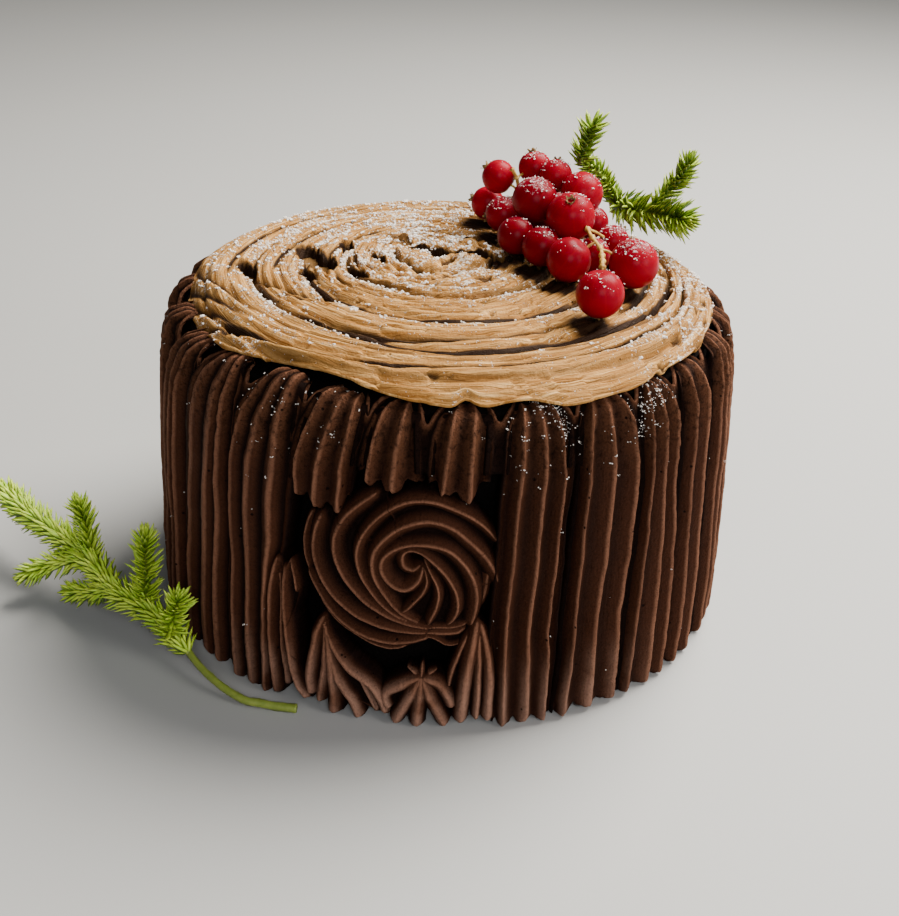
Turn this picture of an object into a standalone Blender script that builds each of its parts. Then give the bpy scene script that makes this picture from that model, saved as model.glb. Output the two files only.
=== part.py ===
# An upright yule log cake: a tree stump piped in butter cream, with redcurrants and spruce.
#
# Metres, +Z up. The origin is the centre of the flat base, the knot faces -Y, and +X is on the
# knot's right. An azimuth is an angle in degrees from the front (-Y), growing towards +X.
# Every solid keeps a small gap to its neighbours, as separately piped pieces do.

import math

import bmesh
import bpy
from mathutils import Vector

MM = 0.001
GAP = 0.3 * MM

# The uncut cake under the piping.
CORE_RADIUS = 69.4 * MM
CORE_HEIGHT = 84.0 * MM
CORE_CHAMFER = 7.0 * MM
CORE_SIDES = 48

# The bark: one piped strip beside the next, bent in over the shoulder of the cake.
FOOT_RADIUS = 79.9 * MM
SHOULDER_RADIUS = 78.6 * MM
SHOULDER_HEIGHT = 62.0 * MM
SHOULDER_RISE = 27.0 * MM
SHOULDER_INSET = 8.6 * MM
BARK_BACK_RADIUS = 71.0 * MM
EDGE_DEPTH = 0.8
VALLEY_DEPTH = 0.45
CREST_REACH = 0.68
SEAM_GAP_DEG = 0.15
STRIP_RIDGES = 3
STRIP_HEIGHTS = (0.0, 6 * MM, 36 * MM, SHOULDER_HEIGHT)
FOOT_TUCK = 1.5 * MM

# Above the shoulder: (height, back radius, back height, width) in millimetres and shares.
UPRIGHT_TIP = ((74.0, 71.0, 74.0, 0.97), (81.5, 70.8, 81.5, 0.87), (88.6, 70.6, 88.6, 0.45))
TUCKED_TIP = ((74.0, 71.0, 74.0, 0.97), (81.5, 70.4, 79.6, 0.85), (85.2, 68.4, 82.6, 0.68))
TUCKED_END = ((69.4 * MM, 86.3 * MM), (66.8 * MM, 85.0 * MM), 0.4)
TUCKED_REACH_DEG = 72.0

# Seams between the full strips at the front, as (azimuth at the foot, azimuth at the shoulder).
LEFT_SEAMS = ((-61.5, -59.5), (-43.5, -42.0))
RIGHT_SEAMS = ((9.8, 10.0), (22.8, 24.0), (37.5, 38.8), (49.5, 49.5), (62.5, 63.0))
BACK_STRIPS = 17
SEAM_WAVE_DEG = 0.5

# The strip beside the knot ends in a step, which a dab fills.
KNOT_SIDE_SEAM = -27.4
DAB_SEAM = -32.9
DAB_HEIGHT = 40.0 * MM
DAB_STEP = 6.0 * MM
SHORT_SEAMS = (-26.4, -14.5, -2.5, 9.8)
SHORT_FEET = ((59.5, 66.5), (67.4, 67.4), (67.2, 66.2))

# The knot, a piped rosette on the front.
KNOT_AZIMUTH = -7.8
KNOT_HEIGHT = 43.4 * MM
KNOT_HALF_WIDTH = 22.8 * MM
KNOT_HALF_HEIGHT = 21.8 * MM
KNOT_RIDGES = 9
KNOT_TURN = 3.2
KNOT_PROFILE = ((1.0, 2.6, 0.6), (0.93, 5.4, 0.9), (0.78, 7.4, 1.1), (0.6, 8.3, 1.2),
                (0.42, 8.1, 1.1), (0.24, 7.4, 0.9), (0.0, 6.6, 0.0))
WALL_RADIUS = 75.0 * MM
PIPED_BACK_RADIUS = CORE_RADIUS + 0.4 * MM

# The small star under the knot, with longer arms below than above.
STAR_AZIMUTH = -2.9
STAR_HEIGHT = 13.0 * MM
STAR_RADIUS = 12.6 * MM
STAR_ARMS = 8
STAR_ACROSS = 0.64
STAR_DOWN = 1.15
STAR_UP = 0.45
STAR_NOTCH_DEPTH = 1.6 * MM
STAR_PROFILE = ((1.0, 5.0, 0.35), (0.7, 7.6, 0.25), (0.35, 8.2, 0.1), (0.0, 7.6, 0.0))

# Strips piped on the wall round the knot: (left, right) azimuths at the foot and at the top.
SHELL_PROFILE = ((0.0, 1.0), (0.2, 1.02), (0.5, 0.97), (0.8, 0.78), (1.0, 0.3))
DAB = ((-32.6, -25.0), (-31.0, -28.4), DAB_HEIGHT, 3)
SLANTED_SHELL = ((-24.4, -10.0), (-23.6, -20.8), 26.5 * MM, 4)
FOOT_STRIP = ((4.0, 9.4), (5.6, 7.8), 28.0 * MM, 2)

# The mocha top.
TOP_UNDERSIDE = 86.9 * MM
TOP_HEIGHT = 90.6 * MM
TOP_ANGLES = 52
TOP_RINGS_PER_TURN = 2.5
FOOT_OF_TOP_RADIUS = 61.5 * MM
LIP_RADIUS = 68.6 * MM
LIP_OFFSET = 0.8 * MM
LIP_REACH = 5.2 * MM
LIP_FRONT_DEG = 6.0
LIP_SPREAD_DEG = 74.0
LIP_WAVE = 0.6 * MM
LIP_WAVES = 9
LIP_PROFILE = ((-3.4, 0.0), (-0.6, 1.1), (0.0, 2.4), (-1.2, 3.7))
SWIRL_CENTRE = (-6.0 * MM, 20.0 * MM)
SWIRL_PITCH = 15.5 * MM
SWIRL_RELIEF = 0.7 * MM

# Redcurrants: centre and radius in millimetres, and the direction that the calyx points.
CURRANTS = (
    ("a", (13.0, 39.8, 106.0), 4.5, (-0.7, 0.2, 0.5)),
    ("b", (10.7, 45.1, 96.4), 4.5, (-0.8, 0.2, 0.2)),
    ("c", (14.6, 32.6, 97.2), 4.8, (-0.7, -0.5, 0.2)),
    ("d", (22.8, 23.5, 104.6), 6.0, (-0.4, -0.3, -0.8)),
    ("e", (23.3, 38.6, 109.1), 4.5, (-0.2, 0.3, 0.9)),
    ("f", (28.8, 31.1, 109.3), 4.4, (0.1, 0.6, 0.7)),
    ("g", (35.7, 23.7, 106.8), 5.7, (0.6, 0.6, 0.5)),
    ("h", (32.3, 12.0, 103.6), 6.3, (-0.1, -0.5, 0.85)),
    ("i", (17.9, 15.3, 96.8), 4.9, (-0.8, -0.5, -0.1)),
    ("j", (24.4, 6.4, 97.1), 5.0, (-0.3, -0.9, -0.1)),
    ("k", (31.1, -4.3, 97.4), 5.5, (-0.2, -0.9, -0.2)),
    ("l", (44.3, 13.6, 96.4), 4.5, (0.5, 0.4, 0.6)),
    ("m", (47.8, -8.1, 98.0), 6.1, (0.3, -0.8, -0.4)),
    ("n", (37.1, -29.5, 97.6), 5.7, (0.1, -0.8, -0.6)),
    ("o", (37.9, 3.4, 96.4), 4.5, (0.2, -0.2, -0.9)),
    ("p", (39.8, 28.6, 97.0), 4.5, (0.4, 0.7, 0.3)),
    ("q", (24.3, 33.9, 96.6), 4.6, (0.1, 0.2, -0.9)),
    ("r", (31.5, 22.5, 96.3), 4.6, (0.3, 0.1, -0.9)),
    ("s", (28.0, 43.0, 97.0), 4.6, (0.2, 0.9, 0.3)),
)
CURRANT_STEPS = 8
STALK_RADIUS = 0.55 * MM
FRONT_STALK = ((36.5, 6.2, 102.2), (37.2, 0.5, 101.9), (38.8, -6.0, 101.4), (38.7, -13.0, 101.7),
               (38.2, -20.0, 102.6), (37.5, -27.0, 104.0))
BACK_STALK = ((18.4, 38.2, 100.6), (18.6, 35.4, 104.0), (18.0, 34.4, 107.4), (16.6, 34.0, 110.0))

# Spruce on the top and at the foot: paths in millimetres and how far the needles spread.
TOP_TWIG = ((48.0, 47.0, 94.6), (45.6, 45.0, 102.8), (42.4, 42.0, 107.3), (38.6, 39.5, 110.2),
            (36.2, 37.5, 113.1))
TOP_SHOOTS = (
    (((45.8, 45.0, 102.0), (42.2, 42.2, 107.3), (37.4, 38.6, 111.4)), 3.4),
    (((35.8, 38.4, 111.0), (37.2, 36.2, 117.5), (38.9, 34.5, 127.0)), 4.6),
    (((47.6, 45.6, 97.6), (53.0, 35.5, 98.8), (60.3, 29.0, 99.6), (66.0, 22.0, 100.7)), 5.0),
    (((57.0, 32.5, 100.0), (61.4, 32.0, 106.4), (64.0, 30.0, 110.7), (66.3, 29.0, 117.5)), 4.2),
)
SIDE_TWIG = ((-34.8, -73.9, 1.3), (-43.8, -72.5, 1.5), (-49.1, -71.3, 2.0), (-55.9, -66.9, 3.5),
             (-62.1, -60.6, 5.0), (-68.7, -52.5, 8.0), (-76.4, -45.5, 10.0), (-86.9, -40.8, 13.0),
             (-99.1, -25.6, 15.0))
SIDE_SHOOTS = (
    (((-65.4, -57.5, 6.8), (-71.0, -50.5, 8.6), (-80.0, -44.0, 11.0), (-87.0, -40.8, 13.0)), 4.6),
    (((-86.9, -40.8, 13.0), (-99.1, -25.6, 15.0), (-117.5, -9.4, 17.0), (-132.2, 6.5, 18.0)), 4.6),
    (((-77.8, -43.6, 10.5), (-77.6, -43.1, 20.0), (-77.1, -42.2, 33.0)), 4.0),
    (((-69.9, -54.4, 8.5), (-67.9, -57.1, 16.0), (-65.8, -58.3, 24.0)), 3.6),
    (((-95.5, -29.0, 14.5), (-97.4, -24.5, 22.0), (-99.6, -22.9, 31.0)), 4.2),
    (((-96.8, -28.0, 14.5), (-106.7, -26.0, 11.5), (-116.5, -28.2, 8.0)), 4.2),
    (((-88.5, -40.0, 12.8), (-94.8, -35.6, 8.6), (-103.0, -30.9, 5.6)), 4.0),
)
TWIG_RADIUS = 1.2 * MM
SHOOT_SIDES = 6
SHOOT_RINGS = 7

COLOURS = {
    "chocolate_sponge": ((0.020, 0.010, 0.007), 0.85),
    "chocolate_buttercream": ((0.070, 0.028, 0.017), 0.55),
    "mocha_buttercream": ((0.42, 0.23, 0.11), 0.55),
    "redcurrant_skin": ((0.42, 0.004, 0.008), 0.12),
    "currant_stalk": ((0.55, 0.42, 0.08), 0.50),
    "spruce_green": ((0.12, 0.22, 0.02), 0.50),
}


def clear_scene():
    for old in list(bpy.data.objects):
        bpy.data.objects.remove(old, do_unlink=True)


def new_collection(name):
    collection = bpy.data.collections.new(name)
    bpy.context.scene.collection.children.link(collection)
    return collection


def material(name):
    found = bpy.data.materials.get(name)
    if found:
        return found
    colour, roughness = COLOURS[name]
    made = bpy.data.materials.new(name)
    made.use_nodes = True
    shader = made.node_tree.nodes["Principled BSDF"]
    shader.inputs["Base Color"].default_value = (*colour, 1.0)
    shader.inputs["Roughness"].default_value = roughness
    shader.inputs["Metallic"].default_value = 0.0
    return made


def add_object(name, data, material_name, collection):
    made = bpy.data.objects.new(name, data)
    data.materials.append(material(material_name))
    collection.objects.link(made)
    return made


def on_wall(azimuth, radius, height):
    angle = math.radians(azimuth)
    return Vector((radius * math.sin(angle), -radius * math.cos(angle), height))


def blend(start, end, share):
    return start + (end - start) * share


def along(stops, value):
    """The value of a broken line, given as (place, value) stops."""
    for (first, low), (second, high) in zip(stops, stops[1:]):
        if value <= second:
            return blend(low, high, max(0.0, (value - first) / (second - first)))
    return stops[-1][1]


def close_mesh(bm, mesh):
    """Turns the faces outwards and hands the bmesh over to the mesh."""
    bmesh.ops.recalc_face_normals(bm, faces=bm.faces)
    if bm.calc_volume(signed=True) < 0:
        bmesh.ops.reverse_faces(bm, faces=bm.faces)
    bm.to_mesh(mesh)
    bm.free()


def loft(name, rings, material_name, collection):
    """Skins closed rings of equal length, first ring to last, and caps both ends."""
    mesh = bpy.data.meshes.new(name)
    bm = bmesh.new()
    loops = [[bm.verts.new(point) for point in ring] for ring in rings]
    count = len(rings[0])
    for low, high in zip(loops, loops[1:]):
        for i in range(count):
            j = (i + 1) % count
            bm.faces.new((low[i], low[j], high[j], high[i]))
    caps = [bm.faces.new(loops[0][::-1]), bm.faces.new(loops[-1])]
    bmesh.ops.triangulate(bm, faces=caps)
    close_mesh(bm, mesh)
    return add_object(name, mesh, material_name, collection)


# --- the cake under the piping

def make_core(collection):
    mesh = bpy.data.meshes.new("cake_body")
    bm = bmesh.new()
    bmesh.ops.create_cone(bm, cap_ends=True, segments=CORE_SIDES, radius1=CORE_RADIUS,
                          radius2=CORE_RADIUS, depth=CORE_HEIGHT)
    bmesh.ops.translate(bm, verts=bm.verts, vec=(0, 0, CORE_HEIGHT / 2))
    rim = [edge for edge in bm.edges if all(vert.co.z > CORE_HEIGHT / 2 for vert in edge.verts)]
    bmesh.ops.bevel(bm, geom=rim, offset=CORE_CHAMFER, segments=1, profile=0.5,
                    affect="EDGES", material=-1)
    bm.to_mesh(mesh)
    bm.free()
    add_object("cake_body", mesh, "chocolate_sponge", collection)


# --- bark strips

def strip_section(ridges):
    """One strip's outer side: (place across from -1 to 1, depth from crest to back)."""
    section = [(-1.0, EDGE_DEPTH)]
    step = 2 * CREST_REACH / (ridges - 1)
    for ridge in range(ridges):
        if ridge:
            section.append((-CREST_REACH + step * (ridge - 0.5), VALLEY_DEPTH))
        section.append((-CREST_REACH + step * ridge, 0.0))
    section.append((1.0, EDGE_DEPTH))
    return section


def outer_radius(height):
    """The bark leans in a little up to the shoulder, then follows a quarter of an ellipse."""
    if height <= SHOULDER_HEIGHT:
        return blend(FOOT_RADIUS, SHOULDER_RADIUS, height / SHOULDER_HEIGHT)
    rise = min(1.0, (height - SHOULDER_HEIGHT) / SHOULDER_RISE)
    return SHOULDER_RADIUS - SHOULDER_INSET * (1 - math.sqrt(1 - rise ** 2))


def shoulder_stations(azimuth):
    """Each station of the bend as (outer radius, height), (back radius, height) and width. The
    strips at the front tuck their tips under the lip, and the others stand up beside it."""
    tucked = abs(azimuth) < TUCKED_REACH_DEG
    stations = []
    for height, back_radius, back_height, width in TUCKED_TIP if tucked else UPRIGHT_TIP:
        outer = (outer_radius(height * MM), height * MM)
        stations.append((outer, (back_radius * MM, back_height * MM), width))
    if tucked:
        stations.append(TUCKED_END)
    return stations


def strip_ring(section, left, right, outer, back, lift=(0.0, 0.0)):
    """One closed ring of a strip; outer and back are (radius, height) at this station."""
    ring = []
    for across, depth in section:
        share = (across + 1) / 2
        azimuth = blend(left, right, share)
        radius = blend(outer[0], back[0], depth)
        height = blend(outer[1], back[1], depth) + blend(lift[0], lift[1], share)
        ring.append(on_wall(azimuth, radius, height))
    ring.append(on_wall(right, back[0], back[1] + lift[1]))
    ring.append(on_wall(left, back[0], back[1] + lift[0]))
    return ring


def bark_strip(name, left_stops, right_stops, collection, feet=(0.0, 0.0), heights=STRIP_HEIGHTS):
    """A strip between two seams, from its foot up and in over the shoulder."""
    section = strip_section(STRIP_RIDGES)
    lowest = min(feet)
    lift = (feet[0] - lowest, feet[1] - lowest)
    foot_tuck = FOOT_TUCK if lowest > 0 else 0.0
    rings = []
    for height in [lowest] + [height for height in heights if height > max(feet)]:
        left = along(left_stops, height) + SEAM_GAP_DEG
        right = along(right_stops, height) - SEAM_GAP_DEG
        outer = (outer_radius(height) - foot_tuck, height)
        rings.append(strip_ring(section, left, right, outer, (BARK_BACK_RADIUS, height), lift))
        foot_tuck = 0.0
        lift = (0.0, 0.0)
    left = left_stops[-1][1] + SEAM_GAP_DEG
    right = right_stops[-1][1] - SEAM_GAP_DEG
    middle = (left + right) / 2
    for outer, back, width in shoulder_stations((middle + 180) % 360 - 180):
        half = (right - left) / 2 * width
        rings.append(strip_ring(section, middle - half, middle + half, outer, back))
    return loft(name, rings, "chocolate_buttercream", collection)


def seam(foot, shoulder):
    return ((0.0, foot), (SHOULDER_HEIGHT, shoulder))


def back_seams():
    """Even seams round the back, from the last right seam to the first left one."""
    first = RIGHT_SEAMS[-1][1]
    span = LEFT_SEAMS[0][1] + 360 - first
    seams = []
    for index in range(1, BACK_STRIPS):
        middle = first + span * index / BACK_STRIPS
        wave = SEAM_WAVE_DEG * math.sin(2.4 * index)
        seams.append(seam(middle + wave, middle - wave))
    return seams


def make_bark(collection):
    right = [seam(*stops) for stops in RIGHT_SEAMS]
    left = [seam(*stops) for stops in LEFT_SEAMS]
    closing = seam(LEFT_SEAMS[0][0] + 360, LEFT_SEAMS[0][1] + 360)
    seams = right + back_seams() + [closing]
    for number, (first, second) in enumerate(zip(seams, seams[1:]), 1):
        bark_strip(f"bark_strip_{number:02d}", first, second, collection)
    count = len(seams)
    bark_strip(f"bark_strip_{count:02d}", left[0], left[1], collection)
    stepped = ((0.0, DAB_SEAM), (DAB_HEIGHT, DAB_SEAM), (DAB_HEIGHT + DAB_STEP, KNOT_SIDE_SEAM),
               (SHOULDER_HEIGHT, KNOT_SIDE_SEAM + 0.6))
    heights = STRIP_HEIGHTS[:2] + (DAB_HEIGHT, DAB_HEIGHT + DAB_STEP, SHOULDER_HEIGHT)
    bark_strip(f"bark_strip_{count + 1:02d}", left[1], stepped, collection, heights=heights)
    for number, (first, second) in enumerate(zip(SHORT_SEAMS, SHORT_SEAMS[1:]), 1):
        feet = tuple(foot * MM for foot in SHORT_FEET[number - 1])
        bark_strip(f"short_strip_{number}", seam(first, first), seam(second, second),
                   collection, feet)


# --- short piped pieces round the knot

def short_piece(name, foot, top, top_height, ridges, collection):
    """A shell piped on the wall: foot and top are (left, right) azimuths."""
    section = strip_section(ridges)
    rings = []
    for share, bulge in SHELL_PROFILE:
        height = top_height * share
        left = blend(foot[0], top[0], share)
        right = blend(foot[1], top[1], share)
        reach = outer_radius(height) - BARK_BACK_RADIUS
        rings.append(strip_ring(section, left, right,
                                (BARK_BACK_RADIUS + reach * bulge, height),
                                (BARK_BACK_RADIUS, height)))
    return loft(name, rings, "chocolate_buttercream", collection)


def wall_dome(name, azimuth, height, rows, back_rows, angles, collection):
    """A piped dome on the wall. A row is a function of the index round the outline and gives
    (across, up, reach off the wall); the first row is the rim and the last one the middle."""
    mesh = bpy.data.meshes.new(name)
    bm = bmesh.new()

    def vertex(across, up, reach):
        turn = azimuth + math.degrees(across / WALL_RADIUS)
        return bm.verts.new(on_wall(turn, reach, max(0.0, height + up)))

    def skin(grid, middle):
        for outer, inner in zip(grid, grid[1:]):
            for i in range(angles):
                j = (i + 1) % angles
                bm.faces.new((outer[i], outer[j], inner[j], inner[i]))
        for i in range(angles):
            bm.faces.new((grid[-1][i], grid[-1][(i + 1) % angles], middle))

    front = [[vertex(*row(i)) for i in range(angles)] for row in rows[:-1]]
    back = [[vertex(*row(i)) for i in range(angles)] for row in back_rows[:-1]]
    skin(front, vertex(*rows[-1](0)))
    skin(back, vertex(*back_rows[-1](0)))
    for i in range(angles):
        j = (i + 1) % angles
        bm.faces.new((front[0][j], front[0][i], back[0][i], back[0][j]))
    close_mesh(bm, mesh)
    return add_object(name, mesh, "chocolate_buttercream", collection)


def make_knot(collection):
    """The rosette: ridges that wind clockwise from the middle out to the rim."""
    angles = KNOT_RIDGES * 4

    def row(share, reach, ridge, twist):
        def point(i):
            turn = math.tau * i / angles - KNOT_TURN * twist
            wave = math.cos(math.tau * i / 4) * ridge
            return (KNOT_HALF_WIDTH * share * math.cos(turn),
                    KNOT_HALF_HEIGHT * share * math.sin(turn), PIPED_BACK_RADIUS + reach + wave)
        return point

    rows = [row(share, reach * MM, ridge * MM, share) for share, reach, ridge in KNOT_PROFILE]
    back_rows = [row(share, 0.0, 0.0, 1.0) for share in (0.97, 0.5, 0.0)]
    wall_dome("knot_rosette", KNOT_AZIMUTH, KNOT_HEIGHT, rows, back_rows, angles, collection)


def make_star(collection):
    """The small star piped under the knot."""
    angles = STAR_ARMS * 2

    def row(share, notch, reach, notch_depth):
        def point(i):
            turn = math.tau * (i - STAR_ARMS / 2) / angles
            valley = i % 2
            radius = share * (1 - notch * valley) * STAR_RADIUS
            stretch = STAR_DOWN if math.sin(turn) < 0 else STAR_UP
            return (radius * math.cos(turn) * STAR_ACROSS, radius * math.sin(turn) * stretch,
                    PIPED_BACK_RADIUS + reach - notch_depth * valley * min(1.0, share * 2))
        return point

    rows = [row(share, notch, reach * MM, STAR_NOTCH_DEPTH)
            for share, reach, notch in STAR_PROFILE]
    back_rows = [row(0.98, STAR_PROFILE[0][2], 0.0, 0.0), row(0.0, 0.0, 0.0, 0.0)]
    wall_dome("star_dollop", STAR_AZIMUTH, STAR_HEIGHT, rows, back_rows, angles, collection)


def make_short_pieces(collection):
    short_piece("dab_strip", *DAB, collection)
    short_piece("slanted_shell", *SLANTED_SHELL, collection)
    short_piece("foot_strip", *FOOT_STRIP, collection)


# --- the mocha top

def front_share(azimuth):
    """How far the lip reaches out here: all the way at the front and not at all at the back."""
    turn = min(90.0, abs(azimuth - LIP_FRONT_DEG) * 90 / LIP_SPREAD_DEG)
    return math.cos(math.radians(turn)) ** 0.7 if turn < 90 else 0.0


def make_top(collection):
    """A disc of cream whose upper side carries the swirl's turns and whose lip hangs at the front."""
    angles = TOP_ANGLES
    ring_step = SWIRL_PITCH / TOP_RINGS_PER_TURN
    ring_count = int(LIP_RADIUS / ring_step)
    mesh = bpy.data.meshes.new("mocha_swirl")
    bm = bmesh.new()

    def circle(point):
        return [bm.verts.new(point(360.0 * i / angles - 180.0)) for i in range(angles)]

    def upper(radius):
        def point(azimuth):
            shift = 1 - radius / LIP_RADIUS
            turns = radius / SWIRL_PITCH + azimuth / 360.0
            relief = SWIRL_RELIEF * math.cos(math.tau * turns)
            spot = on_wall(azimuth, radius, TOP_HEIGHT + relief)
            return spot + Vector((SWIRL_CENTRE[0] * shift, SWIRL_CENTRE[1] * shift, 0.0))
        return point

    def lip(reach, height):
        def point(azimuth):
            share = front_share(azimuth)
            wave = LIP_WAVE * math.sin(math.radians(azimuth) * LIP_WAVES) * share
            offset = LIP_OFFSET * math.sin(math.radians(azimuth))
            radius = LIP_RADIUS + offset + LIP_REACH * share + wave
            return on_wall(azimuth, radius + reach, height)
        return point

    def under(height):
        def point(azimuth):
            return on_wall(azimuth, FOOT_OF_TOP_RADIUS, height)
        return point

    rings = [circle(upper(ring_step * ring)) for ring in range(1, ring_count)]
    for reach, fall in LIP_PROFILE:
        rings.append(circle(lip(reach * MM, TOP_HEIGHT - fall * MM)))
    rings.append(circle(under(TOP_UNDERSIDE)))
    rings.append(circle(under(CORE_HEIGHT + GAP)))
    middle = bm.verts.new((SWIRL_CENTRE[0], SWIRL_CENTRE[1], TOP_HEIGHT + SWIRL_RELIEF))
    below = bm.verts.new((0.0, 0.0, CORE_HEIGHT + GAP))
    for inner, outer in zip(rings, rings[1:]):
        for i in range(angles):
            j = (i + 1) % angles
            bm.faces.new((inner[i], outer[i], outer[j], inner[j]))
    for i in range(angles):
        j = (i + 1) % angles
        bm.faces.new((rings[0][i], rings[0][j], middle))
        bm.faces.new((rings[-1][j], rings[-1][i], below))
    close_mesh(bm, mesh)
    add_object("mocha_swirl", mesh, "mocha_buttercream", collection)


# --- redcurrants

def currant_mesh():
    """A turned currant of unit radius with a short calyx at its +Z pole."""
    mesh = bpy.data.meshes.new("currant_profile")
    bm = bmesh.new()
    profile = [(0.0, 1.16), (0.13, 1.14), (0.1, 1.0), (0.34, 0.93)]
    for latitude in (42, 10, -22, -54):
        turn = math.radians(latitude)
        profile.append((math.cos(turn), math.sin(turn)))
    profile.append((0.0, -1.0))
    points = [bm.verts.new((x, 0.0, z)) for x, z in profile]
    for first, second in zip(points, points[1:]):
        bm.edges.new((first, second))
    bm.to_mesh(mesh)
    bm.free()
    return mesh


def make_currants(collection):
    for label, centre, radius, calyx in CURRANTS:
        currant = add_object(f"redcurrant_{label}", currant_mesh(), "redcurrant_skin", collection)
        screw = currant.modifiers.new("turn", "SCREW")
        screw.steps = CURRANT_STEPS
        screw.render_steps = CURRANT_STEPS
        screw.use_merge_vertices = True
        screw.merge_threshold = 0.0001
        screw.use_normal_calculate = True
        screw.use_smooth_shade = True
        currant.location = Vector(centre) * MM
        currant.rotation_euler = Vector(calyx).to_track_quat("Z", "Y").to_euler()
        currant.scale = (radius * MM,) * 3


def tube(name, path, radius, material_name, collection, resolution=1):
    """A round stalk through points given in millimetres."""
    curve = bpy.data.curves.new(name, "CURVE")
    curve.dimensions = "3D"
    curve.bevel_depth = radius
    curve.bevel_resolution = resolution
    curve.use_fill_caps = True
    spline = curve.splines.new("POLY")
    spline.points.add(len(path) - 1)
    for point, spot in zip(spline.points, path):
        point.co = (*(Vector(spot) * MM), 1.0)
    return add_object(name, curve, material_name, collection)


# --- spruce

def curve_to_mesh(curve_object):
    """The evaluated curve as a welded mesh object with the same name and place."""
    view = bpy.context.evaluated_depsgraph_get()
    name = curve_object.name
    mesh = bpy.data.meshes.new_from_object(curve_object.evaluated_get(view))
    bm = bmesh.new()
    bm.from_mesh(mesh)
    bmesh.ops.remove_doubles(bm, verts=bm.verts, dist=0.00001)
    close_mesh(bm, mesh)
    made = bpy.data.objects.new(name + "_mesh", mesh)
    made.matrix_world = curve_object.matrix_world
    for collection in curve_object.users_collection:
        collection.objects.link(made)
    bpy.data.objects.remove(curve_object, do_unlink=True)
    made.name = name
    return made


def shoot(name, path, spread, collection):
    """A leafy shoot out to the tips of its needles, thick and thin by turns."""
    points = [Vector(spot) * MM for spot in path]
    lengths = [0.0]
    for first, second in zip(points, points[1:]):
        lengths.append(lengths[-1] + (second - first).length)
    rings = []
    for ring in range(SHOOT_RINGS):
        share = ring / (SHOOT_RINGS - 1)
        place = share * lengths[-1]
        centre = along(list(zip(lengths, points)), place)
        ahead = along(list(zip(lengths, points)), min(lengths[-1], place + 2 * MM))
        behind = along(list(zip(lengths, points)), max(0.0, place - 2 * MM))
        facing = (ahead - behind).to_track_quat("Z", "Y")
        body = math.sin(math.pi * (0.12 + 0.84 * share)) ** 0.5
        radius = spread * MM * body * (1.0 if ring % 2 else 0.82)
        radius = max(radius, 0.5 * MM)
        twist = ring * math.pi / SHOOT_SIDES
        loop = []
        for side in range(SHOOT_SIDES):
            turn = math.tau * side / SHOOT_SIDES + twist
            spot = centre + facing @ Vector((radius * math.cos(turn), radius * math.sin(turn), 0))
            loop.append(Vector((spot.x, spot.y, max(spot.z, 0.4 * MM))))
        rings.append(loop)
    return loft(name, rings, "spruce_green", collection)


def sprig(name, twig_path, shoots, collection, cutters):
    """A twig with its leafy shoots, joined into one piece."""
    twig = curve_to_mesh(tube(name, twig_path, TWIG_RADIUS, "spruce_green", collection))
    for number, (path, spread) in enumerate(shoots, 1):
        tool = shoot(f"{name}_tool_{number}", path, spread, cutters)
        tool.hide_render = True
        tool.display_type = "WIRE"
        join = twig.modifiers.new(f"shoot {number}", "BOOLEAN")
        join.operation = "UNION"
        join.solver = "EXACT"
        join.object = tool
    return twig


def main():
    clear_scene()
    collection = new_collection("yule_log_cake")
    cutters = new_collection("cutters")
    cutters.hide_render = True
    make_core(collection)
    make_bark(collection)
    make_short_pieces(collection)
    make_knot(collection)
    make_star(collection)
    make_top(collection)
    make_currants(collection)
    tube("front_stalk", FRONT_STALK, STALK_RADIUS, "currant_stalk", collection)
    tube("back_stalk", BACK_STALK, STALK_RADIUS, "currant_stalk", collection)
    sprig("top_spruce", TOP_TWIG, TOP_SHOOTS, collection, cutters)
    sprig("side_spruce", SIDE_TWIG, SIDE_SHOOTS, collection, cutters)


main()
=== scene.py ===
# A yule log cake stood on end like a tree stump: piped chocolate bark, a rosette for its knot,
# a mocha top, redcurrants, spruce and icing sugar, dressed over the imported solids.
import math
import random

import bmesh
import bpy
import numpy as np
from mathutils import Matrix, Vector, noise


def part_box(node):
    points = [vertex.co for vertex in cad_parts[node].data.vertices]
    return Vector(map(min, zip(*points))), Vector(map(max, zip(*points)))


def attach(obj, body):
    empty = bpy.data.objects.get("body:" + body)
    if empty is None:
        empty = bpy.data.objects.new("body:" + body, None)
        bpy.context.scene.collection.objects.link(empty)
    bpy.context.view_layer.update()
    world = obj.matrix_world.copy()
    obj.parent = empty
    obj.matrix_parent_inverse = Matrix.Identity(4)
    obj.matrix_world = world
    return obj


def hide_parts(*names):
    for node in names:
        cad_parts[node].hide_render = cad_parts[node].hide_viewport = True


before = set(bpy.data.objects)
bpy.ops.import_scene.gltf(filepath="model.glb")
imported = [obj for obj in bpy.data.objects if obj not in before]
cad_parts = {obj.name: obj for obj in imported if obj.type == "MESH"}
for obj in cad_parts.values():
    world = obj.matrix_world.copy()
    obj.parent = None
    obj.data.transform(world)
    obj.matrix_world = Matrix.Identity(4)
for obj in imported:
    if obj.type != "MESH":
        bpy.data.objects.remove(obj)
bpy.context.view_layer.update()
mm = 0.001  # the sizes below are in millimetres


def blend(first, second, share):
    return first + (second - first) * share


def ease(low, high, value):
    # 0 below low, 1 above high and smooth between
    share = min(max((value - low) / (high - low), 0.0), 1.0)
    return share * share * (3 - 2 * share)


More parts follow.
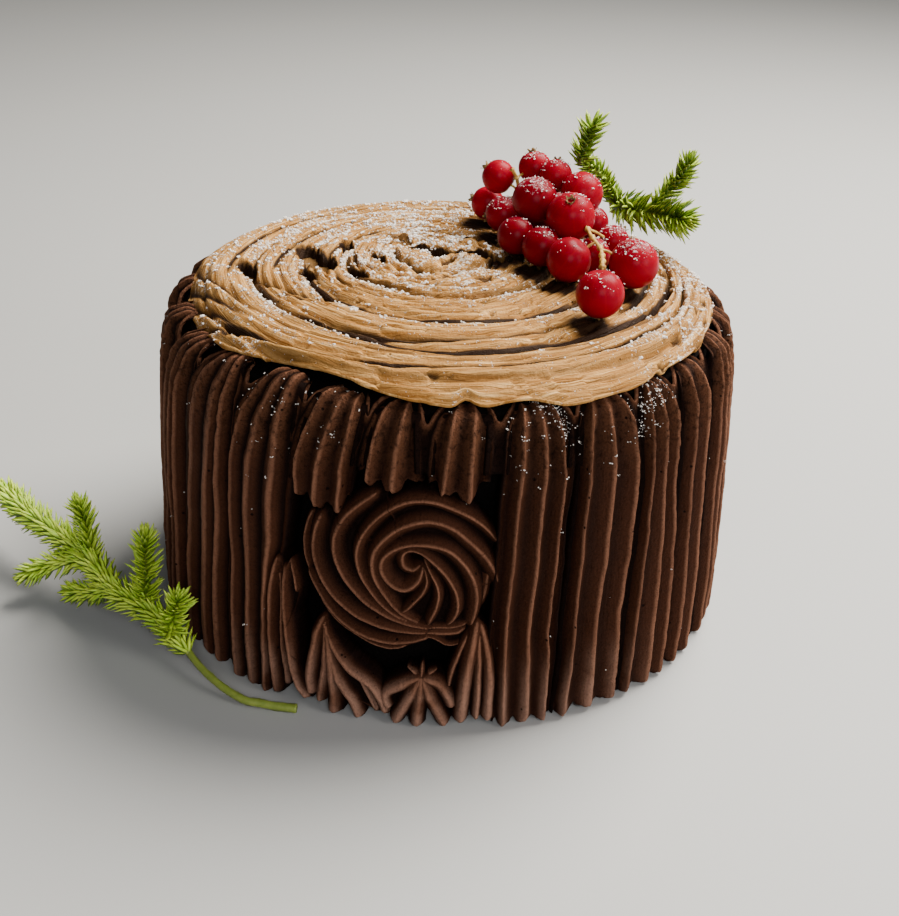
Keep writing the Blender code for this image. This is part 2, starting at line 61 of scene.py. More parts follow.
def softPath(stops, share):
    # a smooth value through evenly spaced stops, as share runs from 0 to 1
    place = min(max(share, 0.0), 1.0) * (len(stops) - 1)
    low = min(int(place), len(stops) - 2)
    t = place - low
    a, b, c, d = (stops[min(max(low + k, 0), len(stops) - 1)] for k in (-1, 0, 1, 2))
    return (b * 2 + (c - a) * t + (a * 2 - b * 5 + c * 4 - d) * t * t
            + (b * 3 - a - c * 3 + d) * t * t * t) * 0.5


def rough(x, y, z, size):
    # smooth noise from -1 to 1, with lumps about size millimetres across
    return noise.noise(Vector((x / size, y / size, z / size)))


def bell(value, middle, width):
    # 1 at the middle, fading to 0 on both sides
    return math.exp(-((value - middle) / width) ** 2)


def window(value, start, full, fall, end):
    # rises from 0 to 1 between the first two places and falls back between the last two
    return ease(start, full, value) * (1 - ease(fall, end, value))


def asVectors(stops):
    return [Vector(stop) for stop in stops]


def heading(stops, share, step):
    # the way a path runs at one place
    ahead, behind = softPath(stops, min(1, share + step)), softPath(stops, max(0, share - step))
    return (ahead - behind).normalized()


def onWall(azimuth, radius, height):
    # azimuth in degrees from the front, growing to the right
    turn = math.radians(azimuth)
    return Vector((radius * math.sin(turn), -radius * math.cos(turn), height)) * mm


def gridRows(bm, columns, rows):
    # rows of vertices of a flat grid, ready to be moved into place
    made = bmesh.ops.create_grid(bm, x_segments=columns, y_segments=rows, size=0.5)["verts"]
    return [made[first:first + columns + 1] for first in range(0, len(made), columns + 1)]


def newCream():
    # a mesh whose points remember how deep in a groove they are, which the finishes paint as
    # shade, and how the nozzle ran
    bm = bmesh.new()
    return bm, bm.verts.layers.float.new("grooveShade"), bm.verts.layers.float_vector.new("stroke")


def closeEnds(bm):
    bmesh.ops.remove_doubles(bm, verts=bm.verts, dist=0.000001)
    rims = [edge for edge in bm.edges if edge.is_boundary]
    capped = bmesh.ops.holes_fill(bm, edges=rims, sides=0)["faces"]
    bmesh.ops.triangulate(bm, faces=capped)


def meshFrom(name, bm):
    mesh = bpy.data.meshes.new(name)
    bm.to_mesh(mesh)
    bm.free()
    return mesh


def addObject(name, data):
    made = bpy.data.objects.new(name, data)
    bpy.context.scene.collection.objects.link(made)
    return made


def addPiece(name, bm, finish, nodes=()):
    bmesh.ops.recalc_face_normals(bm, faces=bm.faces)
    for face in bm.faces:
        face.smooth = True
    piece = addObject(name, meshFrom(name, bm))
    piece.data.materials.append(finish)
    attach(piece, "root")
    if nodes:
        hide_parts(*nodes)


# where icing sugar may settle, as places with weights
sugarSpots = {"mocha": [], "bark": [], "fruit": []}


# --- finishes

class Wire:
    # one socket of a material, whose sums and products add their own Math nodes
    def __init__(self, tree, socket=None):
        self.tree = tree
        self.socket = socket

    def add(self, kind, settings=None, output=0, **inputs):
        node = self.tree.nodes.new(kind)
        for name, value in (settings or {}).items():
            setattr(node, name, value)
        for name, value in inputs.items():
            name = name.replace("_", " ")
            if name[-1].isdigit():
                target = node.inputs[int(name[-1])]
            else:
                target = next(s for s in node.inputs if s.name == name and s.enabled)
            if isinstance(value, Wire):
                self.tree.links.new(value.socket, target)
            else:
                target.default_value = value
        made = [s for s in node.outputs if s.enabled]
        return Wire(self.tree, made[output])

    def math(self, operation, *values):
        inputs = {f"in{place}": value for place, value in enumerate(values)}
        return self.add("ShaderNodeMath", {"operation": operation}, **inputs)

    def between(self, low, high):
        # 0 below low, 1 above high
        return self.add("ShaderNodeMapRange", {"interpolation_type": "SMOOTHSTEP"},
                        Value=self, From_Min=low, From_Max=high)

    def mix(self, first, second):
        # one colour or the other, by this mask
        first, second = (one if isinstance(one, Wire) else (*one, 1.0) for one in (first, second))
        return self.add("ShaderNodeMix", {"data_type": "RGBA"}, Factor=self, A=first, B=second)

    def split(self):
        # the three parts of a place or a way
        node = self.add("ShaderNodeSeparateXYZ", Vector=self).socket.node
        return [Wire(self.tree, part) for part in node.outputs]


for name, operation in (("add", "ADD"), ("sub", "SUBTRACT"), ("mul", "MULTIPLY")):
    setattr(Wire, f"__{name}__", lambda self, other, kind=operation: self.math(kind, self, other))
    setattr(Wire, f"__r{name}__", lambda self, other, kind=operation: self.math(kind, other, self))


def scaled(colour, share):
    return tuple(part * share for part in colour)


def startFinish(name, **fixed):
    material = bpy.data.materials.new(name)
    material.use_nodes = True
    shader = material.node_tree.nodes["Principled BSDF"]
    for key, value in fixed.items():
        shader.inputs[key.replace("_", " ")].default_value = value
    return material, shader, Wire(material.node_tree)


def wireUp(shader, **links):
    for name, wire in links.items():
        wire.tree.links.new(wire.socket, shader.inputs[name.replace("_", " ")])


def painted(wire, name, output=2):
    # a value that the mesh's points remember; output 1 gives it as a place
    return wire.add("ShaderNodeAttribute", {"attribute_name": name}, output=output)


def spot(wire, size, detail=2.0, coarse=0.5):
    # noise whose lumps are about size millimetres across, from 0 to 1
    where = wire.add("ShaderNodeTexCoord", output=3)
    return wire.add("ShaderNodeTexNoise", Vector=where, Scale=1.0 / (size * mm), Detail=detail,
                    Roughness=coarse)


def strands(wire, stretch, detail, coarse):
    # noise drawn out along the way that the cream was piped or spread
    where = wire.add("ShaderNodeMapping", Vector=painted(wire, "stroke", 1), Scale=(*stretch, 1.0))
    return wire.add("ShaderNodeTexNoise", Vector=where, Scale=1.0, Detail=detail, Roughness=coarse)


def pits(wire, size, reach, keep):
    # air holes: 1 inside a hole; size is their spacing and reach their radius as a share of it
    where = wire.add("ShaderNodeTexCoord", output=3)
    cells, pick = (wire.add("ShaderNodeTexVoronoi", output=part, Vector=where,
                            Scale=1.0 / (size * mm)) for part in (0, 1))
    red = wire.add("ShaderNodeSeparateColor", Color=pick)
    chosen = red.between(1 - keep, 1 - keep + 0.05)
    return (1 - cells.between(reach * 0.5, reach)) * chosen


def bump(wire, height, depth, strength=1.0):
    return wire.add("ShaderNodeBump", Height=height, Distance=depth * mm, Strength=strength)


# piped chocolate colours: the crest colour is a painted highlight on the ridge tops, the groove
# colour is painted shade for valleys, pores and holes, and the low colour is painted reflected
# light on the feet
chocolateLook = {
    "crest": (0.275, 0.121, 0.070), "body": (0.052, 0.0170, 0.0076), "dry": (0.150, 0.060, 0.028),
    "grooveShade": (0.0042, 0.0008, 0.0003), "low": (0.36, 0.200, 0.140),
    "roughness": 0.55, "grain": 0.50, "streaks": 0.30, "holes": 0.7,
}


def chocolateFinish(name, look):
    material, shader, wire = startFinish(name, Specular_IOR_Level=0.07)
    grooveShade = painted(wire, "grooveShade")
    lumps = spot(wire, 14, 3)
    grain = spot(wire, 0.55, 3, 0.65)
    crumbs = spot(wire, 1.5, 4, 0.7)
    streaks = strands(wire, (2.2, 0.10), 3.0, 0.6)
    holes = pits(wire, 4.4, 0.10, 0.6)
    _, back, high = wire.add("ShaderNodeTexCoord", output=3).split()
    # painted highlight: the crests, down to a fifth of each groove, are mixed towards the lighter
    # crest colour
    crest = (1 - grooveShade.between(0.0, 0.20)) * (0.35 + lumps * 0.9)
    dry = high.between(0.062, 0.080)  # the tops of the strips are dusty and full of pores
    tone = crest.mix(look["body"], look["crest"])
    tone = (streaks.between(0.35, 0.75) * 0.35).mix(tone, scaled(look["body"], 1.25))
    tone = (dry * 0.45).mix(tone, look["dry"])
    # painted reflected light: the lowest few millimetres in front, out of the grooves, are mixed
    # towards a paler colour
    low = (1 - high.between(0.004, 0.024)) * (1 - grooveShade.between(0.10, 0.62))
    low = low * lumps.between(0.25, 0.55) * (1 - back.between(-0.070, -0.052))
    tone = (low * 0.62).mix(tone, look["low"])  # paler feet in front, under the knot
    # painted shade: grooves, crumb pits and air holes are mixed towards the near-black groove
    # colour, over randomly darker grain
    for dark in (grain.between(0.45, 0.80) * (0.42 + dry * 0.25),
                 grooveShade.between(0.22, 0.85) * 0.95,
                 crumbs.between(0.55, 0.72) * (0.15 + dry * 0.45), holes * 0.9):
        tone = dark.mix(tone, look["grooveShade"])
    height = grain * (look["grain"] + dry * 0.35) + streaks * look["streaks"]
    height = height - holes * look["holes"] - crumbs.between(0.50, 0.75) * (0.2 + dry * 0.9)
    wireUp(shader, Base_Color=tone, Roughness=look["roughness"] + grain * 0.18 + dry * 0.15,
           Normal=bump(wire, height, 1.0, 0.9))
    return material


def darker(look, share):
    return {key: scaled(value, share) if isinstance(value, tuple) else value
            for key, value in look.items()}


chocolate = chocolateFinish("chocolateCream", chocolateLook)
# painted shade: the coat under the piping shows only in deep gaps between strips, so its colours
# are cut to 0.18 of the piped chocolate's
paintedShadeCoat = chocolateFinish("chocolateCoatPaintedShade", darker(chocolateLook, 0.18))
print("finishes started")


# --- bark: strips piped up the side of the cake

bark = {
    "columns": 11, "rows": 84,  # points per valley, and points from foot to tip
    "backRadius": 70.7, "tipThick": 2.2,  # where a strip's hidden side lies, and its tip's depth
    "tucked": ((79.7, 0), (79.7, 14), (79.3, 29), (78.9, 44), (78.5, 58), (77.9, 70),
               (76.2, 78.8), (72.2, 84.0), (66.5, 84.6)),
    "upright": ((79.7, 0), (79.7, 14), (79.3, 29), (78.9, 44), (78.5, 57), (77.9, 68),
                (76.9, 76.4), (74.6, 83.6), (68.4, 87.0)),
    "strayAngle": 0.45, "strayReach": 0.45, "ripple": 0.15, "crumbs": 0.38,
    "edgeLow": (2.0, 3.0),  # one strip's edge always lies over the next one's
    "footRound": 2.6, "footValley": 1.2, "footTorn": 1.3, "footWave": 0.8,
    "lift": (3.4, -35, 15),  # how far the tips at the left are raised, about which azimuth
}

# Tooth lines of the strips in front: azimuths at the foot, a third up, two thirds up, the bend
# and the tip. The first and last lines are the strip's thin edges. fat is how full the ridges are.
frontStrips = {
    "bark_strip_22": {"fat": 0.85, "valley": 2.2, "teeth": (
        (-60.6, -60.2, -58.9, -56.8, -49), (-57.2, -56.2, -54.3, -52.4, -46.6),
        (-50.6, -50.1, -48.2, -46.6, -44.6), (-46.6, -46.3, -45, -44.2, -43.5),
        (-43.6, -43.7, -42.5, -42.3, -42.6))},
    "bark_strip_23": {"fat": 0.7, "valley": 2.2, "teeth": (
        (-43, -43, -42.3, -40.6, -33), (-40.9, -41.2, -41, -38.4, -31.2),
        (-37, -37.3, -36.9, -34.6, -29.8), (-33.6, -33.2, -31.6, -30.6, -28.6),
        (-32.7, -32, -28.1, -27.5, -27.4))},
    "bark_strip_01": {"fat": 0.1, "valley": 3, "teeth": (
        (10.4, 9.4, 10.2, 11, 13.4), (12, 12, 13, 13.9, 14.6),
        (16.5, 16.3, 17.4, 18, 17), (20.2, 20, 21, 21.2, 19.2),
        (21.8, 22.6, 23.2, 24.2, 21))},
    "bark_strip_02": {"fat": 0.1, "valley": 3.2, "teeth": (
        (22.4, 23.3, 24.2, 25, 27.2), (24, 25.2, 25.7, 27, 28.8),
        (29.6, 29.8, 31.1, 31.3, 30.8), (35, 34.8, 36.3, 35.7, 33),
        (36.7, 37.3, 38.8, 38.2, 35))},
    "bark_strip_03": {"fat": 0.15, "valley": 3, "teeth": (
        (37.3, 37.8, 39.1, 38.9, 41.4), (38.3, 39.4, 40.2, 40.4, 42.2),
        (43.9, 44.6, 43.8, 43.6, 43.6), (48, 48.5, 46.8, 46.9, 45.2),
        (49.3, 49.5, 49.2, 49, 46.6))},
    "bark_strip_04": {"fat": 0.2, "valley": 2.8, "teeth": (
        (49.9, 50.3, 50.4, 50.9, 53.2), (53.3, 53.5, 52.6, 53.2, 54.8),
        (58.3, 58.3, 57.6, 58, 57), (62.2, 62.5, 62.7, 62.2, 59.2))},
    "short_strip_1": {"fat": 0.3, "valley": 2.6, "foot": (64, 60.2, 57.6, 58, 62), "teeth": (
        (-28.4, -28, -27.2, -25, -20.6), (-26.3, -26.3, -25, -23, -19.4),
        (-22.8, -22, -20.8, -19.4, -18), (-18.2, -17.6, -17.1, -16.6, -16.4),
        (-16.6, -15.6, -14.8, -14.4, -15.2))},
    "short_strip_2": {"fat": 0.2, "valley": 2.7, "foot": (71, 66.4, 65, 68), "teeth": (
        (-14.6, -14.6, -14, -12.9, -10), (-13.3, -12.8, -12, -10.8, -8.9),
        (-8.8, -8.4, -7.6, -7.1, -6.9), (-3.6, -4, -4.4, -4.3, -5))},
    "short_strip_3": {"fat": 0.25, "valley": 2.6, "foot": (69.5, 65.6, 63.2, 69), "teeth": (
        (-2.8, -2.8, -2.3, -0.9, 1.2), (-0.4, 0.2, 0.9, 2, 3), (4.6, 4.6, 5, 5.6, 5),
        (8.1, 8.4, 8.7, 8.6, 6.6))},
}
tuckedReach = 66  # strips nearer the front than this tuck their tips under the mocha


def addStrip(cream, strip, seed):
    bm, grooveShadeLayer, strokeLayer = cream
    teeth = strip["teeth"]
    middle = sum(tooth[2] for tooth in teeth) / len(teeth)
    turned = (middle + 180) % 360 - 180
    path = asVectors(bark["tucked"] if abs(turned) < tuckedReach else bark["upright"])
    feet = strip.get("foot", (0.0,) * len(teeth))
    lowest = min(feet)
    # wide hollow valleys catch more light
    shade = 0.66 if "foot" in strip else blend(0.66, 0.92, ease(0.12, 0.30, strip["fat"]))
    perValley = bark["columns"]
    face = (len(teeth) - 1) * perValley
    # columns of the hidden side: how far back across the strip, how deep; the last one joins up
    hidden = ((1, 0.35), (1, 1), (0.5, 1), (0, 1), (0, 0.35), None)
    start = next(s for s in (k / 400 for k in range(401)) if softPath(path, s).y >= lowest)
    strip["start"], strip["path"] = start, path
    count = max(24, int(bark["rows"] * (1 - start)))
    last = len(teeth) - 1
    for step, row in enumerate(gridRows(bm, face + len(hidden), count)):
        share = step / count
        along = blend(start, 1.0, share ** 1.12)
        place = (along - start) / (1 - start)
        here = softPath(path, along)
        run = heading(path, along, 0.01)
        tip = ease(0.80, 0.98, along)
        azimuths, reaches = [], []
        for number, tooth in enumerate(teeth):
            stray = bark["strayAngle"] * (1 - tip)
            edge = number in (0, last)
            wave = rough(seed * 7 + number * 3, here.y, 0, 17)
            wave += 0.5 * rough(seed, number * 5, here.y, 7)
            wave += 0.3 * rough(seed, number * 5, here.y, 2.6)
            azimuths.append(softPath(tooth, place) + stray * wave * (1.1 if edge else 1.0))
            reach = bark["strayReach"] * rough(here.y, seed * 5, number * 9, 13)
            reach += 0.0 if edge else bark["ripple"] * rough(here.y, number, seed, 1.9)
            low = bark["edgeLow"][0 if number == 0 else 1]
            reaches.append(reach - (low * (1 - 0.5 * tip) if edge else 0.0))
        valley = strip["valley"] * (1 - 0.78 * ease(0.70, 0.93, along))
        rise = here.y - softPath(path, start).y
        valley *= (1 + 0.25 * rough(seed, here.y, 3, 20)) * (0.55 + 0.45 * ease(0.0, 4.0, rise))
        thickness = blend(here.x - bark["backRadius"], bark["tipThick"], ease(0.80, 0.97, along))
        foot = 1 - min(1.0, rise / bark["footRound"])
        rounding = 1.5 * (1 - math.sqrt(1 - foot * foot)) + 1.6 * ease(0.95, 1.0, share) ** 2
        for column, vert in enumerate(row):
            if column <= face:
                tooth = min(column // perValley, last - 1)
                part = column / perValley - tooth
                near = min(part, 1 - part) * 2
                soft = (math.sqrt(near * near + 0.012) - 0.11) / 0.896
                cusp = 2 * soft - soft * soft
                full = near ** 2.4
                grooveShade = blend(cusp, full, strip["fat"])
                azimuth = blend(azimuths[tooth], azimuths[tooth + 1], part)
                reach = blend(reaches[tooth], reaches[tooth + 1], part)
                offset = reach - valley * grooveShade
                crumb = rough(azimuth * 1.35, here.y, seed, 2.3) - 0.3
                offset += bark["crumbs"] * ease(55, 76, here.y) * crumb
                footStop = blend(feet[tooth], feet[tooth + 1], part)
                footStop += bark["footValley"] * ease(0.35, 1.0, near)
                side = 0.0
            else:
                behind = hidden[column - face - 1]
                if behind is None:
                    vert.co = row[0].co
                    vert[grooveShadeLayer] = 1.0
                    vert[strokeLayer] = row[0][strokeLayer]
                    continue
                azimuth = blend(azimuths[0], azimuths[-1], behind[0])
                offset = blend(blend(reaches[0], reaches[-1], behind[0]), -thickness, behind[1])
                grooveShade = 1.0
                footStop = blend(feet[0], feet[-1], behind[0]) + 0.8
                side = behind[1]
            offset -= rounding * (1 - side)
            radius = here.x + offset * run.y
            height = here.y - offset * run.x
            stop = footStop - lowest + bark["footTorn"] * rough(azimuth * 1.4, seed, 0, 1.1)
            stop += bark["footWave"] * rough(azimuth, seed, 7, 4)
            height += max(0.0, stop) * (1 - ease(0.0, 0.16, share)) if share < 0.16 else 0.0
            lifted = bark["lift"][0] * bell(azimuth, *bark["lift"][1:])
            height += lifted * ease(0.76, 0.92, along) * (1 - 0.45 * ease(0.94, 1.0, along))
            vert.co = onWall(azimuth, radius, max(height, 0.05))
            if column <= face and grooveShade < 0.8 and height > 8:
                heavy = ease(60, 84, height) * window(azimuth, 8, 14, 40, 50)
                left = ease(52, 80, height) * window(azimuth, -44, -38, -26, -16)
                patch = 0.15 + 2.5 * max(0.0, rough(azimuth, height, 0, 6) + 0.1)
                sugarSpots["bark"].append((vert.co.copy(), 0.012 + (heavy + 0.25 * left) * patch))
            # painted shade: the valley's groove value, lighter in wide valleys, darker along the
            # five columns at each thin edge where a strip lies over the next, darkest on the
            # hidden side
            hem = max(1 - column / 5, 1 - (face - column) / 5, 0.0) if column <= face else 0.0
            vert[grooveShadeLayer] = min(1.0, max(shade * grooveShade, 0.8 * hem) + 0.25 * side)
            vert[strokeLayer] = Vector((azimuth * 1.35, here.y, seed))


def backTeeth(left, right, seed):
    # three full ridges between two thin edges, a little different on each strip; those at the
    # left lean towards the front at their tips
    shuffle = random.Random(seed)
    middle = (left + right) / 2
    swing = 9.0 * bell(middle, 290, 22)
    teeth = []
    for place in (0.02, 0.20, 0.50, 0.79, 0.98):
        azimuth = blend(left, right, place)
        lean = [shuffle.uniform(-0.5, 0.5) for _ in range(3)] if 0.1 < place < 0.9 else (0, 0, 0)
        bend = blend(azimuth, middle, 0.12)
        teeth.append((*(azimuth + part for part in lean), bend + 0.35 * swing,
                      blend(azimuth, middle, 0.5) + swing))
    return teeth


def makeBark():
    firstSeam, lastSeam, count = 62.9, 299.9, 17
    strips = dict(frontStrips)
    for number in range(count):
        seed = 40 + number
        wave = [0.5 * math.sin(2.4 * n) if 0 < n < count else 0.0 for n in (number, number + 1)]
        left = blend(firstSeam, lastSeam, number / count) + wave[0]
        right = blend(firstSeam, lastSeam, (number + 1) / count) + wave[1]
        strips[f"bark_strip_{number + 5:02d}"] = {
            "fat": 0.2 + 0.5 * (number / count),
            "valley": 2.4 + 0.6 * math.sin(number * 1.7) ** 2,
            "teeth": backTeeth(left, right, seed)}
    for seed, (node, strip) in enumerate(strips.items()):
        cream = newCream()
        addStrip(cream, strip, seed * 1.37 + 2)
        closeEnds(cream[0])
        addPiece("piped_" + node, cream[0], chocolate, (node,))
    return strips


strips = makeBark()
print("bark piped")


# --- cream laid on the wall as a relief of ridges: the knot, the star and the short dabs

perDegree = math.radians(1) * 77.0  # millimetres across the wall in one degree
pathSteps = 48  # straight parts along a ridge
reliefBack, wallLimit = 70.2, 79.9  # the radii of a relief's hidden side and of the highest crest
sharp = 1.22  # the smallest round of a ridge: 1 is a roof and 2 a half circle


def ridgeRelief(across, up, ridges, centre, curve):
    # the highest ridge at each point, and how far below a crest the point lies (0 to 1)
    best = np.full(across.shape, -9.0)
    grooveShade = np.ones(across.shape)
    for ridge in ridges:
        stops = [Vector(((azimuth - centre[0]) * perDegree, height - centre[1], 0))
                 for azimuth, height in ridge["path"]]
        line = np.array([softPath(stops, k / pathSteps)[:2] for k in range(pathSteps + 1)])
        nearest = np.full(across.shape, 1e9)
        place = np.zeros(across.shape)
        side = np.zeros(across.shape)
        for k in range(pathSteps):
            (x0, y0), (x1, y1) = line[k], line[k + 1]
            dx, dy = x1 - x0, y1 - y0
            size = dx * dx + dy * dy + 1e-9
            t = np.clip(((across - x0) * dx + (up - y0) * dy) / size, 0, 1)
            gap = np.hypot(across - x0 - t * dx, up - y0 - t * dy)
            closer = gap < nearest
            nearest = np.where(closer, gap, nearest)
            place = np.where(closer, (k + t) / pathSteps, place)
            side = np.where(closer, np.sign(dx * (up - y0) - dy * (across - x0)), side)
        start, end = ridge.get("fade", (0.15, 0.15))
        taper = np.sqrt(np.clip(np.minimum(place / start, (1 - place) / end), 0, 1))
        wide = ridge["wide"] * blend(ridge.get("thin", 0.45), 1.0, taper)
        wide = wide * (1 + ridge.get("lean", 0.0) * side)
        drop = np.minimum(nearest / wide, 1.6)
        tall = ridge.get("tall", 3.7) * blend(0.55, 1.0, taper)
        low = ridge.get("lift", 0.0) - ridge.get("sink", 0.8) * (1 - taper)
        value = low - tall * drop ** curve
        higher = value > best
        best = np.where(higher, value, best)
        grooveShade = np.where(higher, np.clip(drop, 0, 1), grooveShade)
    return best, grooveShade


def addRelief(cream, shape):
    # a dome on the wall, round about its centre (azimuth, height), out to where its ridges end
    bm, grooveShadeLayer, strokeLayer = cream
    azimuth0, height0 = shape["centre"]
    columns, rows = shape["columns"], shape["rows"]
    turns = np.linspace(0, math.tau, columns + 1)
    reach = np.linspace(0.3, shape["limit"], 110)
    across, up = reach[:, None] * np.sin(turns), reach[:, None] * np.cos(turns)
    curve = shape["round"]
    relief, _ = ridgeRelief(across, up, shape["ridges"], shape["centre"], curve)
    inside = relief > -shape["cut"]
    edge = np.array([reach[np.nonzero(inside[:, c])[0].max()] if inside[:, c].any() else 1.0
                     for c in range(columns + 1)])
    edge += shape["ragged"] * np.array([rough(math.sin(t) * 9, math.cos(t) * 9, azimuth0, 0.8)
                                        for t in turns])
    edge[-1] = edge[0]
    reach = np.linspace(0, 1, rows + 1)[:, None] ** 0.85 * edge
    across, up = reach * np.sin(turns), reach * np.cos(turns)
    relief, grooveShade = ridgeRelief(across, up, shape["ridges"], shape["centre"], curve)
    relief = np.maximum(relief, -shape["cut"])
    behind = ((1.0, 0.55), (0.99, 1.0), (0.5, 1.0), (0.02, 1.0))
    for step, row in enumerate(gridRows(bm, columns, rows + len(behind))):
        for column, vert in enumerate(row):
            if step <= rows:
                x, y = across[step, column], up[step, column]
                fine = 0.10 * rough(x, y, azimuth0, 1.6) + 0.22 * rough(x, y, azimuth0 + 5, 6)
                fine += 0.6 * (curve - sharp) * (rough(x, y, azimuth0 + 2, 3.0) - 0.4)
                radius = shape["dome"](x, y) + relief[step, column] + fine
                deep = grooveShade[step, column]
            else:
                share, hide = behind[step - rows - 1]
                rimX, rimY = across[rows, column], up[rows, column]
                x, y = rimX * share, rimY * share
                radius = blend(shape["dome"](rimX, rimY) + relief[rows, column], reliefBack, hide)
                deep = 1.0
            height = max(height0 + y, 0.05)
            vert.co = onWall(azimuth0 + x / perDegree, min(radius, wallLimit), height)
            # the groove value, which the chocolate finish paints as shade; on rounder ridges it
            # stays low further from the crest, giving a broader painted highlight
            vert[grooveShadeLayer] = min(1.0, deep ** (0.86 * curve))
            vert[strokeLayer] = Vector((x, y, azimuth0))


def rosetteDome(x, y):
    # full round the middle, hollow at the eye and falling away at the rim; x, y from the eye
    outX, outY = x + 3.4, y + 4.2
    rim = math.hypot(outX / 23.0, outY / 22.5)
    return 78.9 - 3.6 * max(0.0, rim - 0.25) ** 2.2 - 3.4 * bell(math.hypot(x, y), 0.0, 3.6)


def ridge(wide, *stops, **more):
    # its stops are given as azimuths and heights in turn
    return {"wide": wide, "path": list(zip(stops[::2], stops[1::2])), **more}


rosette = {
    "centre": (-5, 47.3), "limit": 33, "columns": 380, "rows": 132, "cut": 3.4,
    "ragged": 0.3, "round": sharp, "dome": rosetteDome,
    "ridges": (
        ridge(3, -3.2, 30.2, -6.6, 33, -9.6, 38, -11.6, 43.5, -11.6, 49.2, -9.6, 53.8,
              -6.4, 57.4, -2.2, 58.9, 1.8, 57.2, 5.2, 53.2, 7.8, 49.2, 9.6, 45, 10.6, 40.6,
              lean=-0.15, fade=(0.30, 0.12), sink=1.8),
        ridge(2.5, -2.6, 29.8, -6.2, 31.4, -9.6, 34.4, -12.4, 39.2, -14.3, 44.6, -14.5, 50,
              -12.9, 55.4, -9.9, 60.2, -6, 63.3, -2, 63.7, 1.8, 62, 5.2, 59.4, 8, 56,
              10.4, 51.6, lean=-0.1, fade=(0.35, 0.15), sink=1.8),
        ridge(3, -2, 29.2, -5.8, 30.4, -9.8, 32.6, -13.6, 36, -16.8, 40.8, -18.7, 46.2,
              -18.9, 51.6, -17.2, 57, -14.3, 61.4, -11.6, 64.4, lean=-0.1, fade=(0.35, 0.10)),
        ridge(3.2, -2.4, 27.6, -7, 28, -11.6, 29.2, -16, 31.8, -19.6, 35.6, -22.2, 40.8,
              -23.3, 46.4, -23, 51.4, -21.9, 56, lean=-0.1, fade=(0.28, 0.08)),
        ridge(2.9, -2, 25.8, -5.6, 24.3, -10, 23.7, -14.4, 24.9, -18, 27.6, -20.6, 31,
              -22.8, 35.2, -24.8, 39, lean=0.1, fade=(0.2, 0.12), lift=-0.5),
        ridge(2.2, -24.9, 38.4, -26, 43.2, -26.2, 47.6, -25.5, 51.8, -24.5, 55,
              fade=(0.2, 0.15), lift=-1.6),
        ridge(1.5, -4.6, 24.2, -6.8, 21.6, -9.4, 20.7, -12.6, 21.5, -15.8, 23.4, -18.8, 25.6,
              -21.2, 28.6, -23.4, 31.8, fade=(0.12, 0.2), lift=-2, tall=2.2),
        ridge(2.9, -3, 45.6, -3.8, 42.4, -6.2, 40.1, -9, 42, -10.3, 45.8, -9.4, 49.3,
              -6.4, 51.9, -2.4, 52.9, 1.4, 51.4, 4.2, 47.6, 6, 43, 6.7, 38, 6.5, 33.4,
              6, 29.6, lean=-0.15, fade=(0.12, 0.12), thin=0.5),
        ridge(2.3, -3.6, 45.9, -4.9, 44.7, -6.5, 45.8, -6.6, 48.6, -5, 50.2, -2.8, 49.5,
              -0.4, 47.1, 1.6, 43.6, 3, 39.4, 3.3, 35.2, 2.6, 32.2, 1.7, 30.6, fade=(0.15, 0.15),
              thin=0.4),
        ridge(2, -2.8, 48, -1.6, 45, -0.5, 42.2, -0.1, 39.2, -0.5, 35.6, -1.3, 32.6,
              -1.8, 30.4, fade=(0.4, 0.15), thin=0.3),
        ridge(1.9, -2.7, 45.6, -2.2, 42.8, -2.9, 39.8, -4.4, 36.9, -5.6, 34.9, -6.5, 33.9,
              fade=(0.4, 0.2), thin=0.3),
        ridge(1.2, -3.6, 25.4, -1.6, 26, 0.2, 24.8, 1.6, 23.3, 3.6, 23.3, 5.2, 25.3, 6, 29.4,
              tall=2, lift=-1.2, fade=(0.2, 0.2)),
        ridge(1.5, -3, 28.2, -0.6, 28.9, 2, 28.8, 4.4, 29.2, 6, 30.4, tall=2.2, lift=-1.5,
              fade=(0.25, 0.25)),
        ridge(2.6, -2.8, 27, 0.6, 26.6, 3.4, 26.6, 5, 27.8, tall=2.6, lift=-1.8,
              fade=(0.25, 0.25)),
        ridge(2.6, 7.4, 33, 8.4, 38, 8.8, 43, 9.8, 46.4, tall=2.4, lift=-2.3,
              fade=(0.25, 0.25)),
    ),
}

starArms = (
    ((-2.8, 13.6), (-2.8, 15), (-2.8, 16.6)),
    ((-3.2, 13.8), (-4.4, 14.6), (-5.6, 15.3)),
    ((-2.4, 13.8), (-1.2, 14.5), (0, 15.2)),
    ((-3.2, 13.8), (-6, 12), (-8.6, 9.8), (-9.6, 7.4), (-8.7, 4.4)),
    ((-3, 13.6), (-4.4, 10), (-5.9, 5.6), (-7.6, 0.8)),
    ((-2.8, 13.6), (-3, 9.2), (-3.3, 4.4), (-3.4, 0.6)),
    ((-2.6, 13.6), (-1.2, 9.6), (0.3, 5.2), (1.9, 0.8)),
    ((-2.4, 13.8), (0.4, 12.4), (1.9, 10), (3.2, 6)),
)
upperArm = {"wide": 1.1, "fade": (0.05, 0.5), "lift": -1.3}
lowerArm = {"wide": 2.3, "fade": (0.3, 0.06)}
star = {
    "centre": (-2.8, 9.4), "limit": 13, "columns": 220, "rows": 60, "cut": 2.9,
    "ragged": 0.35, "round": 1.8, "dome": lambda x, y: 79.4 - 0.5 * max(0, y) - 0.02 * x * x,
    "ridges": [{"path": arm, "thin": 0.3, "tall": 3,
                **(upperArm if arm[-1][1] > 12 else lowerArm)} for arm in starArms],
}
